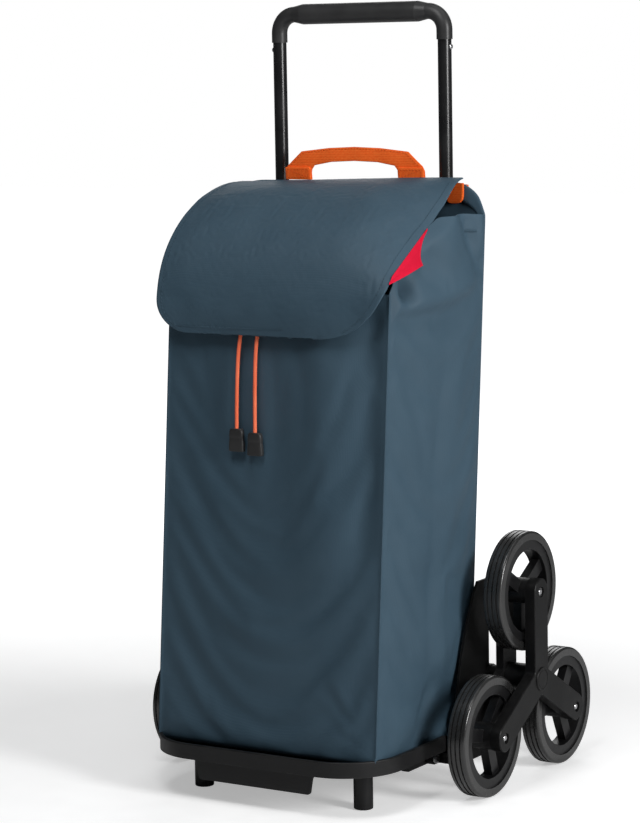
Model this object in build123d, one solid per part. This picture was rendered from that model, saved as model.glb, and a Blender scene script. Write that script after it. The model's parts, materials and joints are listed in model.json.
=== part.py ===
from build123d import *
import os
from math import cos, hypot, radians, sin, tan

os.makedirs("parts", exist_ok=True)

# Folding shopping trolley with stair-climbing wheel stars.
# Millimetres, +Z up, front towards -Y. The origin is on the floor, under the middle of the
# trolley's bounding box. Distances called AHEAD are measured forwards from the axle.

# ---------------------------------------------------------------- driving dimensions
HANDLE_TOP = 1020.0          # floor to the top of the push handle
TRAY_AHEAD = 306.0           # axle to the front rim of the platform
WHEEL_D = 157.0
ARM_R = 115.6                # axle to a wheel's centre

SLIP = 0.05                  # radial clearance of turning and pushed-in fits
SOFT_GAP = 0.5               # air left between sewn parts and anything else

# push handle and uprights
UPRIGHT_X = 127.0
UPRIGHT_AHEAD = 5.3
TUBE_D = 18.0
TUBE_WALL = 1.5
GRIP_D = 27.0
GRIP_LEG_D = 21.0
GRIP_BEND_R = 24.5
GRIP_TAPER = 14.0
GRIP_LEG_DROP = 37.0         # bar centre to the end of the grip's leg
PLUG_LENGTH = 34.0
RIVET_D = 4.0
RIVET_HEAD_D = 7.0
RIVET_DROP = 9.5             # end of the grip's leg to the rivet
CROSSBAR_Z = 560.0
CROSSBAR_D = 14.0
CROSSBAR_CLAMP_D = 26.0
CROSSBAR_CLAMP_H = 26.0

# wheel stars, from the trolley's middle outwards
AXLE_D = 12.0
SPACER_D = 24.0
STAR_INNER_X = 201.0
STAR_INNER_T = 11.0
STAR_OUTER_X = 244.5
STAR_OUTER_T = 15.0
ARM_W = 36.0
ARM_FILLET = 5.0
HUB_BARREL_D = 36.0
BUSH_WALL = 3.0
CAP_D = 32.0
CAP_SEAT = 4.0
CAP_PROUD = 1.5
NUT_D = 21.0
NUT_T = 2.5
NUT_POCKET = 6.5
PIN_D = 8.0
PIN_HEAD_D = 15.0
PIN_HEAD_T = 3.0
PIN_RECESS_D = 14.0
PIN_RECESS = 4.0
PIN_NUT_T = 1.2

# wheels
TYRE_T = 11.5                # radial thickness of the rubber
TYRE_W = 26.0
TYRE_GROOVE_W = 2.2
TYRE_GROOVE_DEEP = 1.8
RIM_RING = 12.4
RIM_W = 22.0
WHEEL_HUB_D = 34.0
SPOKE_W = 17.0
SPOKE_T = 12.0
SPOKES = 3
WHEEL_PLAY = 0.6             # air each side of a wheel's hub
WHEEL_PHASES = {"top": 30.0, "front": 48.0, "rear": 56.0}

# rear base moulding
WING_X = 179.5               # inner face of a wing
WING_T = 3.5
WING_TOP = 265.0
WING_REAR_AHEAD = 4.0
WING_FLANGE = 13.0
WING_FLANGE_T = 4.0
BASE_FLOOR_TOP = 45.0
BASE_FLOOR_T = 14.0
BASE_WALL_T = 3.0
SOCKET_D = 27.0
SOCKET_TOP = 236.0
SOCKET_OVER_AXLE = 24.0      # axle to the lower end of an upright
AXLE_BOSS_D = 26.0
SCREW_D = 3.5
SCREW_HEAD_D = 7.0
SCREW_Z = (160.0, 182.0)

# platform
TRAY_WING_GAP = 2.5
TRAY_X = WING_X - TRAY_WING_GAP
TRAY_CORNER_R = 80.0
TRAY_REAR_AHEAD = 112.0
TRAY_FLOOR_TOP = 64.0
TRAY_FLOOR_T = 4.0
RIM_TOP = 75.0
RIM_LOW = 55.0
RIM_T = 4.0
APRON_X = 84.0
APRON_LOW = 28.0
APRON_T = 4.0
APRON_BACK = 9.0             # front rim to the apron
APRON_FILLET = 9.0
PIVOT_AHEAD = 100.0
PIVOT_Z = 40.0
PIVOT_PIN_D = 8.0
EYE_R = 8.5
EAR_X = 138.0
EAR_T = 10.0
LUG_T = 10.0
EAR_REACH = 84.0             # pivot to the front end of an ear's rib
EAR_GAP = 0.6
EAR_RELIEF = 6.0             # pivot to the ear's cut-away rear corner, both ways
FOOT_X = 122.3
FOOT_AHEAD = 229.5
FOOT_D = 25.0
FOOT_STUB_D = 14.0
FOOT_STUB = 9.0
FOOT_BOSS_D = 24.0
FOOT_SCREW_D = 5.0
FOOT_SCREW_HEAD_D = 10.0

# bag, sewn from coated cloth
CLOTH = 2.5
BAG_LOW = TRAY_FLOOR_TOP + 2.0
BAG_REAR_AHEAD = 26.0
BAG_LIP = 36.0               # platform's front rim to the bag's front
BAG_FRONT_AHEAD = TRAY_AHEAD - BAG_LIP      # at the bottom edge
BAG_FRONT_TOP = 655.0
BAG_FRONT_LEAN = 51.0        # how far the front leans back at BAG_FRONT_TOP
BAG_FRONT_X = 165.0
BAG_REAR_X = 165.0           # at the bottom edge
BAG_SIDE_TOP = 740.0         # side panels at the rear
BAG_REAR_FLARE = 31.0        # how much wider the rear is at BAG_SIDE_TOP
BAG_REAR_TOP = 786.0
BAG_REAR_TOP_X = 150.0
BAG_CORNER_R = 16.0
COLLAR_FOOT = 648.0
COLLAR_TOP = 700.0
COLLAR_INSET = 4.0
MOUTH_X = 128.0
MOUTH_SET_BACK = 74.0        # bag's bottom front edge to the mouth's front
MOUTH_FRONT_AHEAD = BAG_FRONT_AHEAD - MOUTH_SET_BACK
MOUTH_REAR_AHEAD = 52.0
MOUTH_R = 40.0

# flap over the mouth
FLAP_X = 172.0
FLAP_HINGE_AHEAD = 29.0
FLAP_HINGE_Z = 789.0
FLAP_LOW = 599.0
FLAP_SET_BACK = 25.0         # bag's bottom front edge to the flap's lower edge
FLAP_CURVE = (               # share of the way forwards, share of the way down
    (0.153, 0.011),
    (0.477, 0.126),
    (0.755, 0.300),
    (0.921, 0.521),
    (0.991, 0.784),
    (1.0, 1.0),
)
FLAP_CORNER_R = (45.0, 92.0)     # left and right lower corners
FLAP_REAR_CUT = 22.0
TAG_T = 0.8
TAG_OUTLINE = (              # behind the flap's lower edge, below its hinge
    (118.0, 40.0),
    (121.0, 96.0),
    (23.0, 119.0),
    (33.0, 84.0),
)

# carry handle and straps round the uprights
WEBBING = 2.2
STRAP_W = 30.0
STRAP_TOP = 787.0
STRAP_END_X = 147.0
CARRY_X = 107.0
CARRY_LEG_W = 40.0
CARRY_LOW = 745.0
CARRY_BEND_Z = 787.5         # line that the carry handle swings about
CARRY_BEND_GAP = 1.5         # from that line to the sewn-down ends
CARRY_TOP = 831.0
CARRY_BAR = 18.5
CARRY_FOLD = 25.0
CARRY_SHOULDER = 6.0

# drawcord
CORD_D = 5.0
CORD_END = (23.0, 8.0, 30.0)
CORD_GRIP = 6.0              # how far a cord goes into its end piece
EYELET_D = 12.0
EYELET_T = 1.6
EYELET_OUT = 8.5             # an eyelet's front face ahead of the mouth's front

# ---------------------------------------------------------------- derived places
WHEEL_R = WHEEL_D / 2
HUB_Z = WHEEL_R + ARM_R * sin(radians(30))
REAR_REACH = ARM_R * cos(radians(30)) + WHEEL_R
AXLE_Y = (TRAY_AHEAD - REAR_REACH) / 2
BAR_Z = HANDLE_TOP - GRIP_D / 2
GRIP_LEG_END = BAR_Z - GRIP_LEG_DROP
TUBE_LOW = HUB_Z + SOCKET_OVER_AXLE
UPRIGHT_Y = AXLE_Y - UPRIGHT_AHEAD
PIVOT_Y = AXLE_Y - PIVOT_AHEAD
TYRE_IN_R = WHEEL_R - TYRE_T
WHEEL_X = (STAR_INNER_X + STAR_INNER_T + STAR_OUTER_X) / 2
WHEEL_ANGLES = {"top": 90.0, "front": 210.0, "rear": 330.0}
SIDES = {"left": -1, "right": 1}


def ahead(distance):
    """The Y of a place that far in front of the axle."""
    return AXLE_Y - distance


def save(node, *solids):
    """One node's STEP file, as a single solid or a group of separate solids."""
    shape = solids[0] if len(solids) == 1 else Compound(children=list(solids))
    shape.label = node
    export_step(shape, f"parts/{node}.step")


def bar(x0, x1, y, z, diameter):
    """A round bar along X."""
    return Pos((x0 + x1) / 2, y, z) * Rot(0, 90, 0) * Cylinder(diameter / 2, abs(x1 - x0))


def rod_y(x, y0, y1, z, diameter):
    """A round bar along Y."""
    return Pos(x, (y0 + y1) / 2, z) * Rot(90, 0, 0) * Cylinder(diameter / 2, abs(y1 - y0))


def post(x, y, z0, z1, diameter):
    """A round bar along Z."""
    return Pos(x, y, (z0 + z1) / 2) * Cylinder(diameter / 2, z1 - z0)


def block(x0, x1, y0, y1, z0, z1):
    return Pos((x0 + x1) / 2, (y0 + y1) / 2, (z0 + z1) / 2) * Box(x1 - x0, y1 - y0, z1 - z0)


def plate_x(points, x0, x1):
    """A flat plate whose outline lies in the YZ plane, between two X."""
    face = make_face(Plane.YZ * Polyline(*points, close=True))
    return Pos(min(x0, x1), 0, 0) * extrude(face, abs(x1 - x0), dir=(1, 0, 0))


def side_place(side, x):
    """A place at distance x from the middle, on the trolley's left or right."""
    return SIDES[side] * x


def mirrored(shape, side):
    """A right-hand piece, or its mirror image for the left."""
    return shape if side == "right" else mirror(shape, about=Plane.YZ)


# ---------------------------------------------------------------- push handle
def upright(side):
    x = side_place(side, UPRIGHT_X)
    tube = post(x, UPRIGHT_Y, TUBE_LOW, GRIP_LEG_END, TUBE_D)
    tube -= post(x, UPRIGHT_Y, TUBE_LOW, GRIP_LEG_END, TUBE_D - 2 * TUBE_WALL)
    hole = bar(x, x + side_place(side, TUBE_D), UPRIGHT_Y, GRIP_LEG_END - RIVET_DROP, RIVET_D + 2 * SLIP)
    return tube - hole


def push_grip():
    leg_top = BAR_Z - GRIP_BEND_R
    path = FilletPolyline(
        (-UPRIGHT_X, UPRIGHT_Y, GRIP_LEG_END + SLIP),
        (-UPRIGHT_X, UPRIGHT_Y, BAR_Z),
        (UPRIGHT_X, UPRIGHT_Y, BAR_Z),
        (UPRIGHT_X, UPRIGHT_Y, GRIP_LEG_END + SLIP),
        radius=GRIP_BEND_R,
    )
    start = Plane(origin=(-UPRIGHT_X, UPRIGHT_Y, GRIP_LEG_END + SLIP), z_dir=(0, 0, 1))
    grip = sweep(start * Circle(GRIP_LEG_D / 2), path=path)
    bar_half = UPRIGHT_X - GRIP_BEND_R - GRIP_TAPER
    grip += bar(-bar_half, bar_half, UPRIGHT_Y, BAR_Z, GRIP_D)
    for side in (-1, 1):
        taper = Cone(GRIP_D / 2, GRIP_LEG_D / 2, GRIP_TAPER)
        grip += Pos(side * (bar_half + GRIP_TAPER / 2), UPRIGHT_Y, BAR_Z) * Rot(0, 90 * side, 0) * taper
        plug_d = TUBE_D - 2 * TUBE_WALL - 2 * SLIP
        grip += post(side * UPRIGHT_X, UPRIGHT_Y, GRIP_LEG_END - PLUG_LENGTH, leg_top, plug_d)
        grip -= bar(
            side * UPRIGHT_X,
            side * (UPRIGHT_X + TUBE_D),
            UPRIGHT_Y,
            GRIP_LEG_END - RIVET_DROP,
            RIVET_D + 2 * SLIP,
        )
    return grip


def grip_rivet(side):
    z = GRIP_LEG_END - RIVET_DROP
    face = UPRIGHT_X + TUBE_D / 2 + 0.2
    shank = bar(UPRIGHT_X + 1.0, face + 0.5, UPRIGHT_Y, z, RIVET_D)
    head = bar(face, face + 1.8, UPRIGHT_Y, z, RIVET_HEAD_D)
    head = fillet(head.faces().sort_by(Axis.X)[-1].edges(), 1.5)
    return mirrored(shank + head, side)


def crossbar():
    reach = UPRIGHT_X
    piece = bar(-reach, reach, UPRIGHT_Y, CROSSBAR_Z, CROSSBAR_D)
    low, high = CROSSBAR_Z - CROSSBAR_CLAMP_H / 2, CROSSBAR_Z + CROSSBAR_CLAMP_H / 2
    for side in (-1, 1):
        piece += post(side * UPRIGHT_X, UPRIGHT_Y, low, high, CROSSBAR_CLAMP_D)
    for side in (-1, 1):
        piece -= post(side * UPRIGHT_X, UPRIGHT_Y, low, high, TUBE_D + 2 * SLIP)
    return piece


save("push_grip", push_grip())
save("upright_left", upright("left"))
save("upright_right", upright("right"))
save("grip_rivets", grip_rivet("left"), grip_rivet("right"))
save("crossbar", crossbar())


# ---------------------------------------------------------------- rear base moulding
def wing_outline():
    """Quarter-moon outline of a wing, as a face in the YZ plane."""
    rear = ahead(WING_REAR_AHEAD)
    foot = BASE_FLOOR_TOP - BASE_FLOOR_T
    front = Spline(
        (0, ahead(99), foot),
        (0, ahead(92), 110),
        (0, ahead(66), 202),
        (0, ahead(32), WING_TOP),
    )
    rest = Polyline(
        (0, ahead(32), WING_TOP),
        (0, rear, WING_TOP),
        (0, rear, foot),
        (0, ahead(99), foot),
    )
    return make_face([front, rest])


def rear_base():
    floor_low = BASE_FLOOR_TOP - BASE_FLOOR_T
    floor_front = PIVOT_Y + EYE_R + 3.0
    rear = ahead(WING_REAR_AHEAD)
    wall_y = ahead(BAG_REAR_AHEAD - 3.0)
    base = block(-WING_X, WING_X, floor_front, rear, floor_low, BASE_FLOOR_TOP)
    wall_top = HUB_Z + AXLE_BOSS_D / 2
    base += block(-WING_X, WING_X, wall_y, wall_y + BASE_WALL_T, BASE_FLOOR_TOP - 1, wall_top)
    base += block(-WING_X, WING_X, wall_y, AXLE_Y, HUB_Z - AXLE_BOSS_D / 2, HUB_Z)
    base += bar(-WING_X - 6, WING_X + 6, AXLE_Y, HUB_Z, AXLE_BOSS_D)
    for side in (-1, 1):
        x = side * UPRIGHT_X
        wing = extrude(wing_outline(), WING_T, dir=(1, 0, 0))
        base += Pos(WING_X if side > 0 else -WING_X - WING_T, 0, 0) * wing
        flange_x = sorted((side * (WING_X - WING_FLANGE), side * (WING_X + WING_T)))
        base += block(*flange_x, rear - WING_FLANGE_T, rear, floor_low, WING_TOP - 8)
        base += post(x, UPRIGHT_Y, BASE_FLOOR_TOP - 1, SOCKET_TOP, SOCKET_D)
        lug_x = sorted((side * (EAR_X + EAR_T / 2 + EAR_GAP), side * (EAR_X + EAR_T / 2 + EAR_GAP + LUG_T)))
        lug_mid = sum(lug_x) / 2
        base += bar(*lug_x, PIVOT_Y, PIVOT_Z, 2 * EYE_R)
        base += block(*lug_x, PIVOT_Y, floor_front + 1, PIVOT_Z - EYE_R, PIVOT_Z + EYE_R - 4)
        base -= bar(lug_mid - LUG_T, lug_mid + LUG_T, PIVOT_Y, PIVOT_Z, PIVOT_PIN_D + 2 * SLIP)
    for side in (-1, 1):
        x = side * UPRIGHT_X
        base -= post(x, UPRIGHT_Y, TUBE_LOW, SOCKET_TOP, TUBE_D + 2 * SLIP)
        for z in SCREW_Z:
            hole_x = side * (WING_X - WING_FLANGE / 2)
            base -= rod_y(hole_x, rear - WING_FLANGE_T - 1, rear + 1, z, SCREW_D + 2 * SLIP)
    base -= bar(-WING_X - 6, WING_X + 6, AXLE_Y, HUB_Z, AXLE_D + 2 * SLIP)
    return base


def wing_screw(side, z):
    """A screw through the wing's flange, with its tip standing out at the back."""
    x = side_place(side, WING_X - WING_FLANGE / 2)
    rear = ahead(WING_REAR_AHEAD)
    head_y = rear - WING_FLANGE_T
    screw = rod_y(x, head_y - 2.2, head_y, z, SCREW_HEAD_D)
    screw += rod_y(x, head_y - 1, rear + 2, z, SCREW_D)
    tip = Cone(SCREW_D / 2, 0.4, 3.0)
    screw += Pos(x, rear + 3.5, z) * Rot(-90, 0, 0) * tip
    return screw


save("rear_base", rear_base())
save("wing_screws", *[wing_screw(side, z) for side in SIDES for z in SCREW_Z])

AXLE_END = STAR_OUTER_X + STAR_OUTER_T - CAP_SEAT - 1.5
NUT_X = STAR_OUTER_X + STAR_OUTER_T - NUT_POCKET - CAP_SEAT + 2.0
axle = bar(-AXLE_END, AXLE_END, AXLE_Y, HUB_Z, AXLE_D)
save("axle", axle)


def ring_x(x0, x1, y, z, outer, inner):
    """A plain ring round the X direction."""
    return bar(x0, x1, y, z, outer) - bar(x0, x1, y, z, inner)


def axle_spacer(side):
    near = side_place(side, WING_X + 6 + 0.3)
    far = side_place(side, STAR_INNER_X - 0.3)
    return ring_x(near, far, AXLE_Y, HUB_Z, SPACER_D, AXLE_D + 2 * SLIP)


def axle_nut(side):
    near = side_place(side, NUT_X)
    far = side_place(side, NUT_X + NUT_T)
    return ring_x(near, far, AXLE_Y, HUB_Z, NUT_D, AXLE_D + 2 * SLIP)


save("axle_spacers", *[axle_spacer(side) for side in SIDES])
save("axle_nuts", *[axle_nut(side) for side in SIDES])


# ---------------------------------------------------------------- wheel stars
def wheel_centre(place):
    angle = radians(WHEEL_ANGLES[place])
    return AXLE_Y + ARM_R * cos(angle), HUB_Z + ARM_R * sin(angle)


def star_plate(x0, x1):
    """Three arms with round ends, in the YZ plane, small fillets where the arms meet."""
    arms = Sketch()
    for angle in WHEEL_ANGLES.values():
        arm = Pos(ARM_R / 2, 0) * Rectangle(ARM_R, ARM_W)
        arm += Pos(ARM_R, 0) * Circle(ARM_W / 2)
        arms += Rot(0, 0, angle) * arm
    inside = [v for v in arms.vertices() if hypot(v.X, v.Y) < ARM_W]
    arms = fillet(inside, ARM_FILLET)
    plate = extrude(Plane(origin=(x0, AXLE_Y, HUB_Z), x_dir=(0, 1, 0), z_dir=(1, 0, 0)) * arms, x1 - x0)
    return plate


BUSH_OUT_D = AXLE_D + 2 * SLIP + 2 * BUSH_WALL
PIN_SEAT = STAR_OUTER_X + STAR_OUTER_T - PIN_RECESS
BUSH_END = NUT_X - 0.6


def star_outer():
    face = STAR_OUTER_X + STAR_OUTER_T
    star = star_plate(STAR_OUTER_X, face)
    star = chamfer(star.faces().sort_by(Axis.X)[-1].edges(), 1.0)
    barrel_end = STAR_INNER_X + STAR_INNER_T + SLIP
    star += bar(barrel_end, STAR_OUTER_X + 1, AXLE_Y, HUB_Z, HUB_BARREL_D)
    star -= bar(STAR_INNER_X, face, AXLE_Y, HUB_Z, BUSH_OUT_D + 2 * SLIP)
    star -= bar(face - CAP_SEAT, face, AXLE_Y, HUB_Z, CAP_D + 2 * SLIP)
    star -= bar(BUSH_END, face, AXLE_Y, HUB_Z, NUT_D + 2.0)
    for place in WHEEL_ANGLES:
        y, z = wheel_centre(place)
        star -= bar(STAR_OUTER_X - 1, face, y, z, PIN_D + 2 * SLIP)
        star -= bar(PIN_SEAT, face, y, z, PIN_RECESS_D)
    return star


def star_inner():
    face = STAR_INNER_X + STAR_INNER_T
    star = star_plate(STAR_INNER_X, face)
    star -= bar(STAR_INNER_X, face, AXLE_Y, HUB_Z, BUSH_OUT_D + 2 * SLIP)
    for place in WHEEL_ANGLES:
        y, z = wheel_centre(place)
        star -= bar(STAR_INNER_X, face, y, z, PIN_D + 2 * SLIP)
    return star


def wheel_pin(place):
    y, z = wheel_centre(place)
    tip = PIN_SEAT + PIN_RECESS - 1.2
    pin = bar(STAR_INNER_X - 0.2, tip, y, z, PIN_D)
    pin += bar(STAR_INNER_X - 0.2 - PIN_HEAD_T, STAR_INNER_X - 0.2, y, z, PIN_HEAD_D)
    return chamfer(pin.faces().sort_by(Axis.X)[-1].edges(), 1.0)


def pin_nut(place):
    y, z = wheel_centre(place)
    return ring_x(PIN_SEAT + 0.1, PIN_SEAT + 0.1 + PIN_NUT_T, y, z, PIN_RECESS_D - 1.0, PIN_D + 2 * SLIP)


def hub_cap():
    face = STAR_OUTER_X + STAR_OUTER_T
    cap = bar(face - CAP_SEAT + 0.2, face + CAP_PROUD, AXLE_Y, HUB_Z, CAP_D)
    cap = chamfer(cap.faces().sort_by(Axis.X)[-1].edges(), 0.8)
    groove_x = face + CAP_PROUD
    cap -= ring_x(groove_x - 0.6, groove_x, AXLE_Y, HUB_Z, CAP_D - 6.0, CAP_D - 8.0)
    return cap


for side in SIDES:
    save(f"star_outer_{side}", mirrored(star_outer(), side))
    save(f"star_inner_{side}", mirrored(star_inner(), side))
    bush = ring_x(STAR_INNER_X, BUSH_END, AXLE_Y, HUB_Z, BUSH_OUT_D, AXLE_D + 2 * SLIP)
    save(f"star_bush_{side}", mirrored(bush, side))
    save(f"hub_cap_{side}", mirrored(hub_cap(), side))
    save(f"wheel_pins_{side}", *[mirrored(wheel_pin(place), side) for place in WHEEL_ANGLES])
    save(f"pin_nuts_{side}", *[mirrored(pin_nut(place), side) for place in WHEEL_ANGLES])


# ---------------------------------------------------------------- wheels
def wheel_rim(y, z, phase):
    hub_x0 = STAR_INNER_X + STAR_INNER_T + WHEEL_PLAY
    hub_x1 = STAR_OUTER_X - WHEEL_PLAY
    rim_r = TYRE_IN_R - SLIP
    rim = ring_x(WHEEL_X - RIM_W / 2, WHEEL_X + RIM_W / 2, 0, 0, 2 * rim_r, 2 * (rim_r - RIM_RING))
    rim += bar(hub_x0, hub_x1, 0, 0, WHEEL_HUB_D)
    for n in range(SPOKES):
        length = rim_r - RIM_RING / 2
        spoke = Pos(WHEEL_X, length / 2, 0) * Box(SPOKE_T, length, SPOKE_W)
        rim += Rot(phase + n * 360 / SPOKES, 0, 0) * spoke
    rim -= bar(hub_x0, hub_x1, 0, 0, PIN_D + 2 * SLIP)
    return Pos(0, y, z) * rim


def tyre(y, z):
    half = TYRE_W / 2
    edge = 3.0
    profile = FilletPolyline(
        (WHEEL_X - half, TYRE_IN_R),
        (WHEEL_X - half, WHEEL_R),
        (WHEEL_X + half, WHEEL_R),
        (WHEEL_X + half, TYRE_IN_R),
        radius=edge,
    )
    section = make_face([profile, Line((WHEEL_X + half, TYRE_IN_R), (WHEEL_X - half, TYRE_IN_R))])
    ring = revolve(section, axis=Axis.X)
    for n in (-1, 0, 1):
        x = WHEEL_X + n * TYRE_W / 4
        low = 2 * (WHEEL_R - TYRE_GROOVE_DEEP)
        ring -= ring_x(x - TYRE_GROOVE_W / 2, x + TYRE_GROOVE_W / 2, 0, 0, WHEEL_D + 2, low)
    return Pos(0, y, z) * ring


for side in SIDES:
    for place in WHEEL_ANGLES:
        y, z = wheel_centre(place)
        save(f"rim_{side}_{place}", mirrored(wheel_rim(y, z, WHEEL_PHASES[place]), side))
        save(f"tyre_{side}_{place}", mirrored(tyre(y, z), side))


# ---------------------------------------------------------------- folding platform
def tray_outline(inset):
    """The platform's plan, with its two front corners rounded."""
    half = TRAY_X - inset
    front = ahead(TRAY_AHEAD - inset)
    rear = ahead(TRAY_REAR_AHEAD)
    plan = Pos(0, (front + rear) / 2) * Rectangle(2 * half, rear - front)
    corners = [v for v in plan.vertices() if v.Y < (front + rear) / 2]
    return fillet(corners, TRAY_CORNER_R - inset)


def platform_tray():
    floor_low = TRAY_FLOOR_TOP - TRAY_FLOOR_T
    tray = Pos(0, 0, RIM_LOW) * extrude(tray_outline(0), RIM_TOP - RIM_LOW)
    tray = fillet(tray.faces().sort_by(Axis.Z)[-1].edges().filter_by(GeomType.LINE, reverse=True), 1.5)
    tray -= Pos(0, 0, RIM_LOW) * extrude(tray_outline(RIM_T), floor_low - RIM_LOW)
    tray -= Pos(0, 0, TRAY_FLOOR_TOP) * extrude(tray_outline(RIM_T), RIM_TOP - TRAY_FLOOR_TOP)
    apron_y = ahead(TRAY_AHEAD - APRON_BACK)
    outline = FilletPolyline(
        (-APRON_X - 3 * APRON_FILLET, RIM_LOW + 2),
        (-APRON_X - 3 * APRON_FILLET, RIM_LOW - 0.5),
        (-APRON_X - APRON_FILLET / 2, RIM_LOW - 0.5),
        (-APRON_X, APRON_LOW),
        (APRON_X, APRON_LOW),
        (APRON_X + APRON_FILLET / 2, RIM_LOW - 0.5),
        (APRON_X + 3 * APRON_FILLET, RIM_LOW - 0.5),
        (APRON_X + 3 * APRON_FILLET, RIM_LOW + 2),
        radius=[0.3, APRON_FILLET, 4, 4, APRON_FILLET, 0.3],
    )
    top = Line((APRON_X + 3 * APRON_FILLET, RIM_LOW + 2), (-APRON_X - 3 * APRON_FILLET, RIM_LOW + 2))
    face = make_face([outline, top])
    apron = extrude(Plane(origin=(0, apron_y, 0), x_dir=(1, 0, 0), z_dir=(0, -1, 0)) * face, -APRON_T)
    tray += apron
    tray += block(-APRON_X, APRON_X, apron_y, apron_y + APRON_T, RIM_LOW, floor_low + 1)
    for side in (-1, 1):
        ear_x = sorted((side * (EAR_X - EAR_T / 2), side * (EAR_X + EAR_T / 2)))
        tray += bar(*ear_x, PIVOT_Y, PIVOT_Z, 2 * EYE_R)
        rib = plate_x(
            [
                (PIVOT_Y, PIVOT_Z - EYE_R),
                (PIVOT_Y - EAR_REACH * 0.6, PIVOT_Z - EYE_R),
                (PIVOT_Y - EAR_REACH, floor_low + 1),
                (ahead(TRAY_REAR_AHEAD) - 1, floor_low + 1),
                (PIVOT_Y - EAR_RELIEF, PIVOT_Z + EAR_RELIEF),
            ],
            *ear_x,
        )
        tray += rib
        tray -= bar(ear_x[0] - 1, ear_x[1] + 1, PIVOT_Y, PIVOT_Z, PIVOT_PIN_D + 2 * SLIP)
        foot_y = ahead(FOOT_AHEAD)
        tray += post(side * FOOT_X, foot_y, RIM_LOW - FOOT_STUB, floor_low + 1, FOOT_BOSS_D)
        tray -= post(side * FOOT_X, foot_y, RIM_LOW - FOOT_STUB, floor_low, FOOT_STUB_D + 2 * SLIP)
        tray -= post(side * FOOT_X, foot_y, floor_low - 1, TRAY_FLOOR_TOP, FOOT_SCREW_D + 2 * SLIP)
        tray -= post(side * FOOT_X, foot_y, TRAY_FLOOR_TOP - 2, TRAY_FLOOR_TOP, FOOT_SCREW_HEAD_D + 0.4)
    for x in (-60.0, 0.0, 60.0):
        tray += block(x - 1.5, x + 1.5, apron_y + 1, ahead(TRAY_REAR_AHEAD) - 4, RIM_LOW, floor_low + 1)
    return tray


def foot(side):
    x, y = side_place(side, FOOT_X), ahead(FOOT_AHEAD)
    top = RIM_LOW - FOOT_STUB
    leg = post(x, y, 0, top, FOOT_D)
    leg = fillet(leg.faces().sort_by(Axis.Z)[0].edges(), 1.5)
    leg += post(x, y, top - 1, TRAY_FLOOR_TOP - TRAY_FLOOR_T, FOOT_STUB_D)
    leg -= post(x, y, top - 12, TRAY_FLOOR_TOP, FOOT_SCREW_D + 2 * SLIP)
    return leg


def foot_screw(side):
    x, y = side_place(side, FOOT_X), ahead(FOOT_AHEAD)
    screw = post(x, y, RIM_LOW - FOOT_STUB - 10, TRAY_FLOOR_TOP - 1.9, FOOT_SCREW_D)
    return screw + post(x, y, TRAY_FLOOR_TOP - 1.9, TRAY_FLOOR_TOP - 0.1, FOOT_SCREW_HEAD_D)


def hinge_pin(side):
    near = side_place(side, EAR_X - EAR_T / 2 - 1.5)
    far = side_place(side, EAR_X + EAR_T / 2 + EAR_GAP + LUG_T + 1.0)
    pin = bar(near, far, PIVOT_Y, PIVOT_Z, PIVOT_PIN_D)
    return pin + bar(far, far + side_place(side, 2.5), PIVOT_Y, PIVOT_Z, PIVOT_PIN_D + 5)


save("platform_tray", platform_tray())
for side in SIDES:
    save(f"foot_{side}", foot(side))
save("foot_screws", *[foot_screw(side) for side in SIDES])
save("hinge_pins", *[hinge_pin(side) for side in SIDES])


# ---------------------------------------------------------------- bag
def bag_front_y(z):
    share = (z - BAG_LOW) / (BAG_FRONT_TOP - BAG_LOW)
    return ahead(BAG_FRONT_AHEAD - BAG_FRONT_LEAN * share)


def bag_rear_x(z):
    share = (z - BAG_LOW) / (BAG_SIDE_TOP - BAG_LOW)
    return BAG_REAR_X + BAG_REAR_FLARE * share


def bag_plan(z, inset):
    """The bag's rounded plan at a height: wider at the rear, square-cornered there."""
    rear, front = ahead(BAG_REAR_AHEAD + inset), bag_front_y(z) + inset
    wide, narrow = bag_rear_x(z) - inset, BAG_FRONT_X - inset
    corners = [(wide, rear), (narrow, front), (-narrow, front), (-wide, rear)]
    face = make_face(Polyline(*corners, close=True))
    front_corners = [v for v in face.vertices() if v.Y < (rear + front) / 2]
    return Pos(0, 0, z) * fillet(front_corners, BAG_CORNER_R - inset)


def bag_slice(z0, z1, inset):
    """The solid between two heights that the bag's walls enclose, inset from its outside."""
    return loft([bag_plan(z0, inset), bag_plan(z1, inset)], ruled=True)


def bag_shell():
    shell = bag_slice(BAG_LOW + CLOTH, BAG_SIDE_TOP, 0)
    return shell - bag_slice(BAG_LOW + CLOTH - 1, BAG_SIDE_TOP + 1, CLOTH)


def corner_line(z):
    """Middle of a front corner's rounding: seams run out from it at 45 degrees."""
    return BAG_FRONT_X - BAG_CORNER_R, bag_front_y(z) + BAG_CORNER_R


def front_wedge():
    """Everything ahead of the two front seams."""
    faces = []
    for z in (BAG_LOW, BAG_SIDE_TOP + 5):
        x, y = corner_line(z)
        far = 2 * BAG_CORNER_R
        points = [(x, y), (x + far, y - far), (-x - far, y - far), (-x, y)]
        faces.append(Pos(0, 0, z) * make_face(Polyline(*points, close=True)))
    return loft(faces, ruled=True)


SHELL = bag_shell()
WEDGE = front_wedge()
REACH = BAG_REAR_X + 2 * BAG_REAR_FLARE + 100


def below_side_edge():
    """Everything under the sloping top edge of the side panels."""
    rear, front = ahead(BAG_REAR_AHEAD), bag_front_y(BAG_FRONT_TOP)
    outline = [
        (rear + 50, BAG_SIDE_TOP),
        (rear, BAG_SIDE_TOP),
        (front, BAG_FRONT_TOP),
        (front - 100, BAG_FRONT_TOP),
        (front - 100, BAG_LOW - 5),
        (rear + 50, BAG_LOW - 5),
    ]
    return plate_x(outline, -REACH, REACH)


SEWN = SHELL & below_side_edge()
REAR_SEAM = ahead(BAG_REAR_AHEAD + CLOTH)


def bag_front():
    return SEWN & WEDGE


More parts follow.
